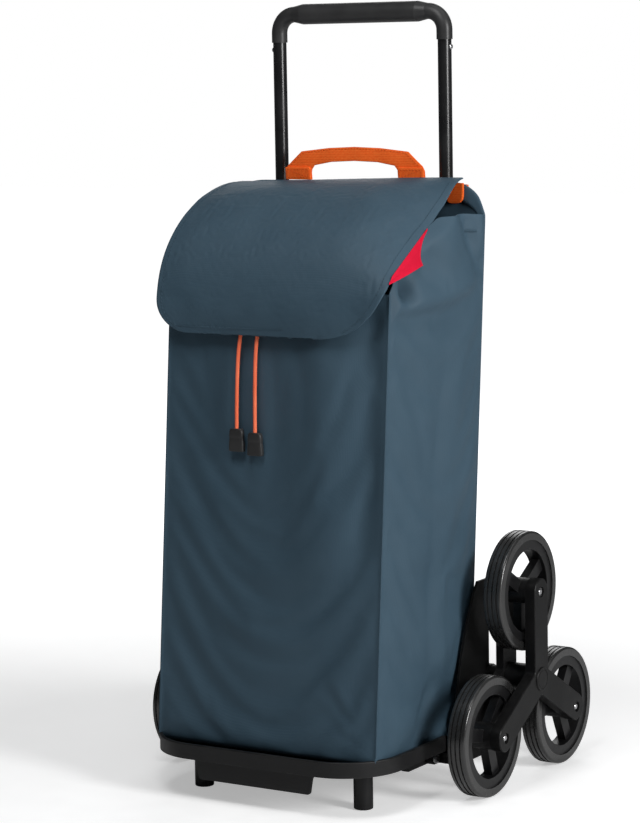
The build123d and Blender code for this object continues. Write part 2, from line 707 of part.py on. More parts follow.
def bag_side(side):
    x = sorted((0, side_place(side, REACH)))
    half = block(*x, ahead(TRAY_AHEAD + 50), REAR_SEAM, BAG_LOW - 5, BAG_SIDE_TOP + 5)
    return (SEWN & half) - WEDGE


def bag_rear():
    """Flat back panel, which rises to the flap's seam between its shoulders."""
    outline = [
        (bag_rear_x(BAG_LOW), BAG_LOW + CLOTH),
        (bag_rear_x(BAG_SIDE_TOP), BAG_SIDE_TOP),
        (BAG_REAR_TOP_X, BAG_REAR_TOP),
        (-BAG_REAR_TOP_X, BAG_REAR_TOP),
        (-bag_rear_x(BAG_SIDE_TOP), BAG_SIDE_TOP),
        (-bag_rear_x(BAG_LOW), BAG_LOW + CLOTH),
    ]
    face = make_face(Polyline(*outline, close=True))
    plane = Plane(origin=(0, ahead(BAG_REAR_AHEAD), 0), x_dir=(1, 0, 0), z_dir=(0, -1, 0))
    return extrude(plane * face, CLOTH)


def bag_bottom():
    return extrude(bag_plan(BAG_LOW, 0), CLOTH)


def mouth_plan(z, inset):
    front, rear = ahead(MOUTH_FRONT_AHEAD - inset), ahead(MOUTH_REAR_AHEAD + inset)
    wide = 2 * (MOUTH_X - inset)
    plan = Pos(0, (front + rear) / 2) * RectangleRounded(wide, rear - front, MOUTH_R - inset)
    return Pos(0, 0, z) * plan


def collar_foot_plan(inset):
    """The collar's lower edge, just inside the bag's walls."""
    z = COLLAR_FOOT
    front, rear = bag_front_y(z) + COLLAR_INSET + inset, ahead(BAG_REAR_AHEAD + COLLAR_INSET + inset)
    half = BAG_FRONT_X - COLLAR_INSET - inset
    plan = Pos(0, (front + rear) / 2) * RectangleRounded(2 * half, rear - front, MOUTH_R - inset)
    return Pos(0, 0, z) * plan


def bag_collar():
    """The drawn-in cloth ring round the mouth."""
    outer = loft([collar_foot_plan(0), mouth_plan(COLLAR_TOP, 0)], ruled=True)
    inner = loft([collar_foot_plan(CLOTH), mouth_plan(COLLAR_TOP, CLOTH)], ruled=True)
    return outer - inner


save("bag_front", bag_front())
for side in SIDES:
    save(f"bag_side_{side}", bag_side(side))
save("bag_rear", bag_rear())
save("bag_bottom", bag_bottom())
save("bag_collar", bag_collar())


# ---------------------------------------------------------------- flap
def flap_crest():
    """Points (Y, Z) on the flap's outside, from its seam over the mouth to its lower edge."""
    seam = FLAP_HINGE_AHEAD + SOFT_GAP
    forwards = BAG_FRONT_AHEAD - FLAP_SET_BACK - seam
    down = FLAP_HINGE_Z - FLAP_LOW
    points = [(ahead(seam), FLAP_HINGE_Z)]
    for along, drop in FLAP_CURVE:
        points.append((ahead(seam + along * forwards), FLAP_HINGE_Z - drop * down))
    return points


def flap_section():
    """The flap's thickness in the YZ plane: its outside, and the same curve one cloth inside."""
    points = flap_crest()
    inside = []
    for n, (y, z) in enumerate(points):
        y0, z0 = points[max(n - 1, 0)]
        y1, z1 = points[min(n + 1, len(points) - 1)]
        run = hypot(y1 - y0, z1 - z0)
        inside.append((0, y - CLOTH * (z1 - z0) / run, z + CLOTH * (y1 - y0) / run))
    crest = Spline(*[(0, y, z) for y, z in points])
    under = Spline(*reversed(inside))
    return make_face([crest, Line(crest @ 1, under @ 0), under, Line(under @ 1, crest @ 0)])


def flap_panel():
    sheet = Pos(-FLAP_X, 0, 0) * extrude(flap_section(), 2 * FLAP_X, dir=(1, 0, 0))
    top = FLAP_HINGE_Z + 40
    outline = Pos(0, (FLAP_LOW + top) / 2) * Rectangle(2 * FLAP_X, top - FLAP_LOW)
    for n, radius in enumerate(FLAP_CORNER_R):
        low = [v for v in outline.vertices() if v.Y < FLAP_LOW + 0.1]
        corner = sorted(low, key=lambda v: v.X)[-n]
        outline = fillet(corner, radius)
    front_view = Plane(origin=(0, ahead(0), 0), x_dir=(1, 0, 0), z_dir=(0, -1, 0)) * outline
    sheet &= extrude(front_view, TRAY_AHEAD)
    rear = ahead(FLAP_HINGE_AHEAD)
    for side in (-1, 1):
        cut = [
            (side * FLAP_X, rear - 2 * FLAP_REAR_CUT),
            (side * (FLAP_X - FLAP_REAR_CUT), rear),
            (side * (FLAP_X + 5), rear + 5),
            (side * (FLAP_X + 5), rear - 2 * FLAP_REAR_CUT),
        ]
        corner = Pos(0, 0, FLAP_LOW) * extrude(make_face(Polyline(*cut, close=True)), top - FLAP_LOW)
        sheet -= corner
    return sheet


def flap_tag():
    """Plain cloth label folded into the flap's right-hand edge."""
    low_edge = BAG_FRONT_AHEAD - FLAP_SET_BACK
    outline = [(ahead(low_edge - back), FLAP_HINGE_Z - down) for back, down in TAG_OUTLINE]
    return plate_x(outline, FLAP_X + 0.4, FLAP_X + 0.4 + TAG_T)


save("flap", flap_panel())
save("flap_tag", flap_tag())


# ---------------------------------------------------------------- webbing
def rear_plane():
    """Front face of the webbing that lies on the bag's back."""
    y = ahead(BAG_REAR_AHEAD - SOFT_GAP)
    return Plane(origin=(0, y, 0), x_dir=(1, 0, 0), z_dir=(0, -1, 0))


def carry_handle():
    """The free loop of the carry handle, above the line where it bends."""
    rise = CARRY_TOP - CARRY_SHOULDER
    fold = rise - CARRY_FOLD
    outer = [
        (-CARRY_X, CARRY_BEND_Z),
        (-CARRY_X, fold),
        (-CARRY_X + CARRY_FOLD, rise),
        (0, CARRY_TOP),
        (CARRY_X - CARRY_FOLD, rise),
        (CARRY_X, fold),
        (CARRY_X, CARRY_BEND_Z),
    ]
    leg_in = CARRY_X - CARRY_LEG_W
    inner = [
        (leg_in, CARRY_BEND_Z),
        (leg_in, rise - CARRY_BAR),
        (0, CARRY_TOP - CARRY_BAR),
        (-leg_in, rise - CARRY_BAR),
        (-leg_in, CARRY_BEND_Z),
    ]
    face = make_face(Polyline(*outer, *inner, close=True))
    return extrude(rear_plane() * face, -WEBBING)


def carry_anchor(side):
    """The end of the carry handle's webbing that is sewn flat to the bag's back."""
    tall = CARRY_BEND_Z - CARRY_BEND_GAP - CARRY_LOW
    middle = side_place(side, CARRY_X - CARRY_LEG_W / 2)
    patch = Pos(middle, CARRY_LOW + tall / 2) * Rectangle(CARRY_LEG_W, tall)
    return extrude(rear_plane() * patch, -WEBBING)


def upright_strap(side):
    """A webbing loop round an upright, sewn to the bag beside it."""
    inner_r = TUBE_D / 2 + SOFT_GAP
    x0, x1 = UPRIGHT_X, STRAP_END_X

    def slot(radius):
        plan = Pos((x0 + x1) / 2, 0) * SlotOverall(x1 - x0 + 2 * radius, 2 * radius)
        return extrude(Pos(0, UPRIGHT_Y, STRAP_TOP - STRAP_W) * plan, STRAP_W)

    loop = slot(inner_r + WEBBING) - slot(inner_r)
    return mirrored(loop, side)


save("carry_handle", carry_handle())
save("carry_anchors", carry_anchor("left"), carry_anchor("right"))
for side in SIDES:
    save(f"upright_strap_{side}", upright_strap(side))


# ---------------------------------------------------------------- drawcord
def cord_points(name):
    """Hand-laid route of a drawcord tail: out of the collar, over the front, then straight down."""
    if name == "left":
        return [
            (-34.0, ahead(204.5), 690.0),
            (-38.0, ahead(214.0), 682.0),
            (-42.0, ahead(228.0), 655.0),
            (-46.0, ahead(233.0), 612.0),
            (-52.0, ahead(238.0), 560.0),
            (-50.0, ahead(244.0), 474.0),
        ]
    return [
        (-14.0, ahead(204.5), 690.0),
        (-16.0, ahead(214.0), 682.0),
        (-19.0, ahead(228.0), 655.0),
        (-21.0, ahead(233.0), 612.0),
        (-25.0, ahead(238.0), 560.0),
        (-22.0, ahead(244.0), 470.0),
    ]


def bend_radii(points):
    """A bend radius at each inner point, the largest that its two runs leave room for."""
    radii = []
    for a, b, c in zip(points, points[1:], points[2:]):
        first, second = Vector(*b) - Vector(*a), Vector(*c) - Vector(*b)
        turn = radians(first.get_angle(second))
        shorter = min(first.length, second.length)
        radii.append(0.45 * shorter / tan(turn / 2))
    return radii


def cord(name):
    points = cord_points(name)
    radii = bend_radii(points)
    print("drawcord", name, "bend radii", [round(r, 1) for r in radii])
    path = FilletPolyline(*points, radius=radii)
    start = Plane(origin=points[0], z_dir=path % 0)
    return sweep(start * Circle(CORD_D / 2), path=path)


def cord_end(name):
    x, y, z = cord_points(name)[-1]
    wide, deep, tall = CORD_END
    end = Pos(x, y, z + CORD_GRIP - tall / 2) * Box(wide, deep, tall)
    end = fillet(end.edges().filter_by(Axis.Z), 2.0)
    return end - post(x, y, z - SOFT_GAP, z + CORD_GRIP, CORD_D + 2 * SOFT_GAP)


def eyelet(name):
    """A pressed ring in the collar that the cord leaves through."""
    x, _, z = cord_points(name)[0]
    y = ahead(MOUTH_FRONT_AHEAD + EYELET_OUT)
    shape = Cylinder(EYELET_D / 2, EYELET_T) - Cylinder(CORD_D / 2 + 0.8, EYELET_T)
    return Plane(origin=(x, y + EYELET_T / 2, z), z_dir=(0, -1, 0)) * shape


save("drawcord_left", cord("left"))
save("drawcord_right", cord("right"))
save("cord_ends", cord_end("left"), cord_end("right"))
save("eyelets", eyelet("left"), eyelet("right"))
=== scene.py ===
# %% [markdown]
# A folding shopping trolley: a sewn, coated bag on a folding platform, a steel push handle, and two
# three-wheel stars that walk up stairs. The CAD model holds every size and every joint, so this
# script loads it first and takes places from it. Hard parts keep their CAD shape and get a finish.
# Everything sewn is made here, because cloth has folds, hems and stitches that CAD leaves out.

# %% Load the frame
import json
import math

import bmesh
import bpy
import numpy as np
from mathutils import Matrix, Vector, noise


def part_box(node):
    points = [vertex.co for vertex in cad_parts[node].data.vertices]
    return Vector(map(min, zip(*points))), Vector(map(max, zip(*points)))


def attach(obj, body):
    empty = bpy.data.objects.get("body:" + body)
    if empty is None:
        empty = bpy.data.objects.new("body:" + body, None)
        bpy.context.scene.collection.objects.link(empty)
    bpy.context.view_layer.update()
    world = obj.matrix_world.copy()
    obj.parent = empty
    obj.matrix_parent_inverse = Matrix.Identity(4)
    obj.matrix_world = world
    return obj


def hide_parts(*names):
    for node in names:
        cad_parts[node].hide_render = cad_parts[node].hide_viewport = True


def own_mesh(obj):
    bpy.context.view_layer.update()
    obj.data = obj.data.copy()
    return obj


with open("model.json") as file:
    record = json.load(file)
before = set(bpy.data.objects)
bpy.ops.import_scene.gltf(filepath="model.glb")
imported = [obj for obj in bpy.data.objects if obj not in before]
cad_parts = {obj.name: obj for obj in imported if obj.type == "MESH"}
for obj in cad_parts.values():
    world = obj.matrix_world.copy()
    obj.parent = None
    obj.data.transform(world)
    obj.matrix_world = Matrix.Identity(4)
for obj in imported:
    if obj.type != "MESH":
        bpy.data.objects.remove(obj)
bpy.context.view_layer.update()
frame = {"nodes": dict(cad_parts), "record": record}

axle_low, axle_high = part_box("axle")
AXLE_Y = (axle_low.y + axle_high.y) / 2


def at(x, ahead, z):
    """A point in metres, from millimetres across, ahead of the axle, and up."""
    return Vector((x / 1000, AXLE_Y - ahead / 1000, z / 1000))


def smooth(a, b, value):
    """0 below a, 1 above b, and an S-curve between them."""
    t = np.clip((np.asarray(value, float) - a) / (b - a), 0, 1)
    return t * t * (3 - 2 * t)


def hump(value, middle, width):
    """A round hump, 1 at the middle."""
    return np.exp(-(((np.asarray(value, float) - middle) / width) ** 2))


# %% [markdown]
# The camera stands to the front right at hip height, far away with a long lens, so the upright
# lines stay almost parallel. A near camera with a wide lens would spread the handle and the wheels.

# %% Camera
camera = bpy.data.objects.new("camera", bpy.data.cameras.new("camera"))
camera.data.lens = 122.6
camera.data.sensor_width = 36
camera.data.clip_end = 60
camera.location = (1.9301, -3.1355, 0.9477)
turn = Matrix.Rotation(math.radians(32.1), 4, "Z")
tilt = Matrix.Rotation(math.radians(90 - 7.18), 4, "X")
roll = Matrix.Rotation(math.radians(-1.0), 4, "Z")
camera.matrix_world = Matrix.Translation(camera.location) @ turn @ tilt @ roll
bpy.context.scene.collection.objects.link(camera)
bpy.context.scene.camera = camera
print("camera at", tuple(round(v, 3) for v in camera.location))

# %% [markdown]
# The light is a white studio: one soft light from the right, a weak one overhead, a small one above
# the front, a wide one behind, and a little light all round.
# The front of the bag turns away from the right-hand light,
# so it stays darker than the side, and that step is what shows the bag's sharp front edge. The floor's
# white glow is there only for the camera and lights nothing.

# %% Floor and lights
def soft_light(name, place, target, size, power):
    lamp = bpy.data.objects.new(name, bpy.data.lights.new(name, "AREA"))
    lamp.data.shape = "RECTANGLE"
    lamp.data.size, lamp.data.size_y = size
    lamp.data.energy = power
    lamp.location = place
    lamp.rotation_euler = (Vector(target) - Vector(place)).to_track_quat("-Z", "Y").to_euler()
    bpy.context.scene.collection.objects.link(lamp)
    return lamp


soft_light("key_right", (2.83, -0.62, 1.35), (0, 0, 0.5), (0.8, 1.1), 66)
soft_light("overhead", (0.6, 0.2, 3.0), (0, 0, 0), (1.8, 1.8), 8)
soft_light("behind", (-1.6, 3.2, 2.0), (0, 0, 0.5), (2.0, 2.0), 24)
soft_light("near_top", (0.15, -0.86, 1.78), (0, -0.1, 0.6), (0.6, 0.6), 9)

world = bpy.data.worlds.new("studio")
bpy.context.scene.world = world
world.use_nodes = True
world_nodes, world_links = world.node_tree.nodes, world.node_tree.links
world_nodes.clear()
seen = world_nodes.new("ShaderNodeBackground")
seen.inputs["Color"].default_value = (1, 1, 1, 1)
seen.inputs["Strength"].default_value = 1.0
lighting = world_nodes.new("ShaderNodeBackground")
lighting.inputs["Color"].default_value = (0.93, 0.97, 1, 1)
lighting.inputs["Strength"].default_value = 0.08
rays = world_nodes.new("ShaderNodeLightPath")
either = world_nodes.new("ShaderNodeMixShader")
world_out = world_nodes.new("ShaderNodeOutputWorld")
world_links.new(rays.outputs["Is Camera Ray"], either.inputs["Fac"])
world_links.new(lighting.outputs[0], either.inputs[1])
world_links.new(seen.outputs[0], either.inputs[2])
world_links.new(either.outputs[0], world_out.inputs["Surface"])
bpy.context.scene.view_settings.view_transform = "Standard"

FLOOR_HALF = 14.0
floor_mesh = bpy.data.meshes.new("floor")
corners = [(-1, -1), (1, -1), (1, 1), (-1, 1)]
floor_mesh.from_pydata([(x * FLOOR_HALF, y * FLOOR_HALF, -0.0005) for x, y in corners], [], [(0, 1, 2, 3)])
floor = bpy.data.objects.new("floor", floor_mesh)
bpy.context.scene.collection.objects.link(floor)
print("floor and four lights made")

# %% [markdown]
# Shared effects are node groups, each built once: moulded grain, worn edges, coated weave, webbing
# ribs and dust. Each puts out a height or a mask, and every material mixes them in its own amounts.
# They read object coordinates, so a pattern stays on its piece when a joint moves.

# %% Node helpers
def add_node(tree, kind, links=(), **values):
    """A node with its settings, input values and incoming links."""
    made = tree.nodes.new(kind)
    for name, value in values.items():
        setattr(made, name, value)
    for name, source in dict(links).items():
        if hasattr(source, "is_output"):
            tree.links.new(source, made.inputs[name])
        else:
            made.inputs[name].default_value = source
    return made


def math_node(tree, operation, *values):
    made = tree.nodes.new("ShaderNodeMath")
    made.operation = operation
    for n, value in enumerate(values):
        if hasattr(value, "is_output"):
            tree.links.new(value, made.inputs[n])
        else:
            made.inputs[n].default_value = value
    return made.outputs[0]


def spread(tree, value, low, high, out_low=0.0, out_high=1.0):
    """Maps a value between two limits onto a new range."""
    links = {"Value": value, "From Min": low, "From Max": high, "To Min": out_low, "To Max": out_high}
    return add_node(tree, "ShaderNodeMapRange", links).outputs[0]


def new_group(name, inputs, outputs):
    """An empty node group with float inputs and outputs."""
    tree = bpy.data.node_groups.new(name, "ShaderNodeTree")
    for label, value in inputs.items():
        tree.interface.new_socket(label, in_out="INPUT", socket_type="NodeSocketFloat").default_value = value
    for label in outputs:
        tree.interface.new_socket(label, in_out="OUTPUT", socket_type="NodeSocketFloat")
    return tree, tree.nodes.new("NodeGroupInput").outputs, tree.nodes.new("NodeGroupOutput").inputs


# %% Grain of moulded plastic and rubber
tree, given, result = new_group("moulded_grain", {"Scale": 900.0}, ["Height", "Patches"])
place = tree.nodes.new("ShaderNodeTexCoord").outputs["Object"]
pits = add_node(tree, "ShaderNodeTexVoronoi", {"Vector": place, "Scale": given["Scale"]})
coarse = math_node(tree, "MULTIPLY", given["Scale"], 0.25)
skin = add_node(tree, "ShaderNodeTexNoise", {"Vector": place, "Scale": coarse, "Detail": 3.0})
patches = add_node(tree, "ShaderNodeTexNoise", {"Vector": place, "Scale": 22.0, "Detail": 4.0})
height = math_node(tree, "MULTIPLY_ADD", pits.outputs["Distance"], 0.6, skin.outputs[0])
tree.links.new(height, result["Height"])
tree.links.new(spread(tree, patches.outputs[0], 0.35, 0.65), result["Patches"])
GRAIN = tree

# %% Worn edges
tree, given, result = new_group("edge_wear", {"Width": 0.0012, "Amount": 1.0}, ["Mask"])
place = tree.nodes.new("ShaderNodeTexCoord").outputs["Object"]
rounded = add_node(tree, "ShaderNodeBevel", {"Radius": given["Width"]}, samples=4)
plain = tree.nodes.new("ShaderNodeNewGeometry").outputs["Normal"]
facing = add_node(tree, "ShaderNodeVectorMath", {0: rounded.outputs[0], 1: plain}, operation="DOT_PRODUCT")
edge = spread(tree, facing.outputs["Value"], 0.995, 0.88)
rub = add_node(tree, "ShaderNodeTexNoise", {"Vector": place, "Scale": 110.0, "Detail": 5.0})
broken = math_node(tree, "MULTIPLY", edge, spread(tree, rub.outputs[0], 0.4, 0.62))
tree.links.new(math_node(tree, "MULTIPLY", broken, given["Amount"]), result["Mask"])
WEAR = tree

# %% Coated weave
tree, given, result = new_group("coated_weave", {"Pitch": 0.0011}, ["Height", "Shade"])
place = tree.nodes.new("ShaderNodeTexCoord").outputs["Object"]
axes = add_node(tree, "ShaderNodeSeparateXYZ", {0: place})
threads = None
for axis in "XYZ":
    turns = math_node(tree, "DIVIDE", axes.outputs[axis], given["Pitch"])
    ridge = math_node(tree, "ABSOLUTE", math_node(tree, "SINE", math_node(tree, "MULTIPLY", turns, math.pi)))
    threads = ridge if threads is None else math_node(tree, "ADD", threads, ridge)
slubs = add_node(tree, "ShaderNodeTexNoise", {"Vector": place, "Scale": 420.0, "Detail": 2.0})
bleach = add_node(tree, "ShaderNodeTexNoise",
    {"Vector": place, "Scale": 9.0, "Detail": 5.0, "Roughness": 0.6})
tree.links.new(math_node(tree, "MULTIPLY_ADD", slubs.outputs[0], 1.2, threads), result["Height"])
tree.links.new(spread(tree, bleach.outputs[0], 0.3, 0.7), result["Shade"])
WEAVE = tree

# %% Webbing ribs
tree, given, result = new_group("webbing_ribs", {"Pitch": 0.0022, "Upright": 0.0}, ["Height", "Shade"])
place = tree.nodes.new("ShaderNodeTexCoord").outputs["Object"]
axes = add_node(tree, "ShaderNodeSeparateXYZ", {0: place})
along = add_node(tree, "ShaderNodeMix",
    {0: given["Upright"], 2: axes.outputs["X"], 3: axes.outputs["Z"]}).outputs[0]
across = add_node(tree, "ShaderNodeMix",
    {0: given["Upright"], 2: axes.outputs["Z"], 3: axes.outputs["X"]}).outputs[0]
rib_turns = math_node(tree, "MULTIPLY", math_node(tree, "DIVIDE", across, given["Pitch"]), math.pi)
rib = math_node(tree, "ABSOLUTE", math_node(tree, "SINE", rib_turns))
pick_turns = math_node(tree, "MULTIPLY", math_node(tree, "DIVIDE", along, given["Pitch"]), 2 * math.pi)
pick = math_node(tree, "SINE", math_node(tree, "ADD", pick_turns, rib_turns))
tree.links.new(math_node(tree, "MULTIPLY_ADD", pick, 0.3, rib), result["Height"])
fuzz = add_node(tree, "ShaderNodeTexNoise", {"Vector": place, "Scale": 300.0, "Detail": 4.0})
tree.links.new(math_node(tree, "MULTIPLY", spread(tree, fuzz.outputs[0], 0.3, 0.7), rib), result["Shade"])
RIBS = tree

# %% Dust that settles on what faces up
tree, given, result = new_group("dust", {"Amount": 0.5}, ["Mask"])
place = tree.nodes.new("ShaderNodeTexCoord").outputs["Object"]
up = add_node(tree, "ShaderNodeSeparateXYZ", {0: tree.nodes.new("ShaderNodeNewGeometry").outputs["Normal"]})
specks = add_node(tree, "ShaderNodeTexNoise",
    {"Vector": place, "Scale": 60.0, "Detail": 8.0, "Roughness": 0.7})
lying = math_node(tree, "MULTIPLY", spread(tree, up.outputs["Z"], 0.1, 1.0, 0.15, 1.0), given["Amount"])
tree.links.new(math_node(tree, "MULTIPLY", spread(tree, specks.outputs[0], 0.45, 0.7), lying), result["Mask"])
DUST = tree
print("node groups", sorted(g.name for g in bpy.data.node_groups))

# %% [markdown]
# A finish is one material: a base colour, a second colour that its pattern brings in, and amounts of
# grain, wear and dust. One function builds them all, so every finish has variation in colour,
# roughness and relief, and none is a single flat colour.

# %% Finishes
def finish(name, colour, second, pattern, roughness, relief, depth, wear=0.0, worn=(0.2, 0.2, 0.2), dust=0.0,
           settings=(), **amounts):
    """A Principled material whose colour, roughness and relief come from one pattern group."""
    material = bpy.data.materials.new(name)
    material.use_nodes = True
    tree = material.node_tree
    shader = tree.nodes["Principled BSDF"]
    for socket, value in dict(settings).items():
        shader.inputs[socket].default_value = value

    def placed(group, **values):
        made = tree.nodes.new("ShaderNodeGroup")
        made.node_tree = group
        for label, value in values.items():
            made.inputs[label].default_value = value
        return made.outputs

    def tint(share, under, over):
        mix = tree.nodes.new("ShaderNodeMix")
        mix.data_type = "RGBA"
        for socket, value in ((mix.inputs[0], share), (mix.inputs[6], under), (mix.inputs[7], over)):
            if hasattr(value, "is_output"):
                tree.links.new(value, socket)
            elif hasattr(value, "__len__"):
                socket.default_value = (*value, 1)
            else:
                socket.default_value = value
        return mix.outputs[2]

    effect = placed(pattern, **amounts)
    shade = effect["Patches"] if pattern is GRAIN else effect["Shade"]
    paint = tint(shade, colour, second)
    rough = spread(tree, shade, 0, 1, roughness[0], roughness[1])
    if wear:
        mask = placed(WEAR, Amount=wear)["Mask"]
        paint = tint(mask, paint, worn)
        rough = math_node(tree, "MULTIPLY_ADD", mask, 0.15, rough)
    if dust:
        mask = placed(DUST, Amount=dust)["Mask"]
        paint = tint(mask, paint, (0.35, 0.34, 0.32))
        rough = math_node(tree, "MULTIPLY_ADD", mask, 0.3, rough)
    bump = tree.nodes.new("ShaderNodeBump")
    bump.inputs["Strength"].default_value = relief
    bump.inputs["Distance"].default_value = depth
    tree.links.new(effect["Height"], bump.inputs["Height"])
    tree.links.new(paint, shader.inputs["Base Color"])
    tree.links.new(rough, shader.inputs["Roughness"])
    tree.links.new(bump.outputs[0], shader.inputs["Normal"])
    return material


BLUE, BLUE_PALE = (0.041, 0.077, 0.109), (0.049, 0.089, 0.124)
COATED = {"Specular IOR Level": 0.22}
CLOTH = finish("bag_cloth", BLUE, BLUE_PALE, WEAVE, (0.52, 0.64), 0.16, 0.0004, dust=0.02, settings=COATED)
# Painted shade: the collar's cloth is the bag's blue painted about four times darker, for the shade inside
# the mouth.
CLOTH_SHADED_INSIDE = finish("bag_cloth_painted_shade", (0.010, 0.018, 0.025), (0.014, 0.024, 0.033), WEAVE, (0.6, 0.75), 0.2,
    0.0004, settings=COATED)
THREAD = finish("thread", (0.030, 0.056, 0.080), (0.05, 0.09, 0.125), WEAVE, (0.6, 0.7), 0.4, 0.0002,
    Pitch=0.0005,
                settings=COATED)
MATT = {"Specular IOR Level": 0.15}
WEBBING_COLOURS = (0.95, 0.125, 0.014), (1.0, 0.20, 0.034)
WEBBING = finish("orange_webbing", *WEBBING_COLOURS, RIBS, (0.62, 0.78), 0.45, 0.0005, settings=MATT)
WEBBING_UP = finish("orange_webbing_upright", *WEBBING_COLOURS, RIBS, (0.62, 0.78), 0.45, 0.0005, Upright=1.0,
                    settings=MATT)
ORANGE_THREAD = finish("orange_thread", (0.62, 0.07, 0.008), (0.85, 0.12, 0.02), WEAVE, (0.6, 0.7), 0.4,
    0.0002,
                       Pitch=0.0005, settings=MATT)
CORD = finish("drawcord_orange", (0.85, 0.125, 0.05), (1.0, 0.25, 0.13), WEAVE, (0.65, 0.8), 0.5, 0.0003,
              Pitch=0.0009, settings=MATT)
TAG = finish("tag_cloth", (0.56, 0.003, 0.024), (0.68, 0.008, 0.042), WEAVE, (0.5, 0.62), 0.2, 0.0003,
    Pitch=0.0007,
             settings=MATT)
GLOSS = {"Specular IOR Level": 0.30}
BLACK_WORN = (0.045, 0.045, 0.045)
GRIP_PLASTIC = finish("handle_plastic", (0.026, 0.026, 0.0265), (0.038, 0.038, 0.0385), GRAIN,
    (0.34, 0.46), 0.2,
                      0.0002, wear=0.7, worn=BLACK_WORN, dust=0.02, Scale=1400.0, settings=GLOSS)
TUBE_PAINT = finish("black_tube", (0.007, 0.007, 0.0075), (0.012, 0.012, 0.0125), GRAIN, (0.26, 0.36), 0.08,
                    0.0002, wear=0.8, worn=(0.08, 0.08, 0.08), dust=0.015, Scale=700.0,
                    settings={"Specular IOR Level": 0.3, "Coat Weight": 0.3, "Coat Roughness": 0.2})
BASE_PLASTIC = finish("base_plastic", (0.003, 0.003, 0.0031), (0.005, 0.005, 0.0051), GRAIN, (0.42, 0.56),
    0.25,
                      0.0003, wear=0.7, worn=BLACK_WORN, dust=0.01, Scale=1100.0, settings=MATT)
PLATFORM_PLASTIC = finish("platform_plastic", (0.006, 0.006, 0.0065), (0.010, 0.010, 0.0105), GRAIN,
    (0.40, 0.55),
                          0.25, 0.0003, wear=1.0, worn=BLACK_WORN, dust=0.03, Scale=1000.0, settings=GLOSS)
STAR_PLASTIC = finish("star_plastic", (0.005, 0.005, 0.0052), (0.008, 0.008, 0.0082), GRAIN, (0.38, 0.50),
    0.25,
                      0.0003, wear=0.7, worn=(0.035, 0.035, 0.035), dust=0.01, Scale=1200.0, settings=MATT)
RIM_PLASTIC = finish("rim_plastic", (0.006, 0.006, 0.0065), (0.011, 0.011, 0.0115), GRAIN, (0.36, 0.48), 0.2,
                     0.0003, wear=1.0, worn=(0.05, 0.05, 0.05), dust=0.02, Scale=1200.0, settings=GLOSS)
TYRE_RUBBER = finish("tyre_rubber", (0.014, 0.014, 0.014), (0.021, 0.0208, 0.0205), GRAIN, (0.20, 0.32), 0.25,
                     0.0003, wear=0.6, worn=(0.035, 0.034, 0.033), dust=0.01, Scale=800.0,
                     settings={"Specular IOR Level": 0.7})
BUSH_PLASTIC = finish("bush_plastic", (0.30, 0.30, 0.29), (0.38, 0.38, 0.37), GRAIN, (0.4, 0.5), 0.2, 0.0002)
STEEL = finish("bright_steel", (0.50, 0.50, 0.51), (0.64, 0.64, 0.65), GRAIN, (0.22, 0.38), 0.15, 0.0002,
               wear=0.5, worn=(0.8, 0.8, 0.8), dust=0.06, Scale=500.0, settings={"Metallic": 1.0})
FLOOR = finish("floor_white", (0.90, 0.90, 0.90), (0.93, 0.93, 0.93), GRAIN, (0.7, 0.8), 0.02, 0.0002,
    Scale=40.0)
tree = FLOOR.node_tree
centre = add_node(tree, "ShaderNodeVectorMath",
    {0: tree.nodes.new("ShaderNodeTexCoord").outputs["Object"]}, operation="LENGTH")
glow = spread(tree, centre.outputs["Value"], 0.6, 2.0, 0.40, 1.0)
grey = tree.nodes.new("ShaderNodeCombineColor")
for channel in ("Red", "Green", "Blue"):
    tree.links.new(glow, grey.inputs[channel])
tree.links.new(grey.outputs[0], tree.nodes["Principled BSDF"].inputs["Emission Color"])
seen_directly = tree.nodes.new("ShaderNodeLightPath").outputs["Is Camera Ray"]
tree.links.new(seen_directly, tree.nodes["Principled BSDF"].inputs["Emission Strength"])
floor.data.materials.append(FLOOR)
print("finishes", len(bpy.data.materials))

# %% [markdown]
# The hard parts keep their CAD shapes. Each is given its finish by the record's slot name, on the
# object's own material slot, so the mesh itself isn't touched.

# %% Finish of the hard parts
BY_SLOT = {
    "handle_plastic": GRIP_PLASTIC, "black_tube": TUBE_PAINT, "base_plastic": BASE_PLASTIC,
    "platform_plastic": PLATFORM_PLASTIC, "star_plastic": STAR_PLASTIC, "rim_plastic": RIM_PLASTIC,
    "tyre_rubber": TYRE_RUBBER, "bush_plastic": BUSH_PLASTIC, "bright_steel": STEEL, "bag_cloth": CLOTH,
    "orange_webbing": WEBBING, "cord_orange": CORD, "cord_end_plastic": GRIP_PLASTIC, "tag_cloth": TAG,
}
node_slots = {n["name"]: n.get("material_slot") or n.get("slot") for n in frame["record"].get("nodes", [])
              if isinstance(n, dict)}
painted = 0
for name, piece in frame["nodes"].items():
    wanted = node_slots.get(name)
    for held in piece.material_slots:
        wanted = wanted or (held.material.name.split(".")[0] if held.material else None)
        if wanted in BY_SLOT:
            held.link = "OBJECT"
            held.material = BY_SLOT[wanted]
            painted += 1
print("finished", painted, "of", len(frame["nodes"]))

# %% [markdown]
# The drawcord closes the bag's mouth, and its two tails hang down over the front. Each is a limp braided
# cord, so its line is one smooth NURBS curve through the same points as the CAD tube. The cord itself is a
# mesh. Its rings follow the curve, and a small crossed ripple in their radius gives the braid.

# %% Drawcord tails
CORD_D = 0.005
BRAID_STRANDS = 8
BRAID_PITCH = 0.011
BRAID_STEP = 0.0009
BRAID_SIDES = 32


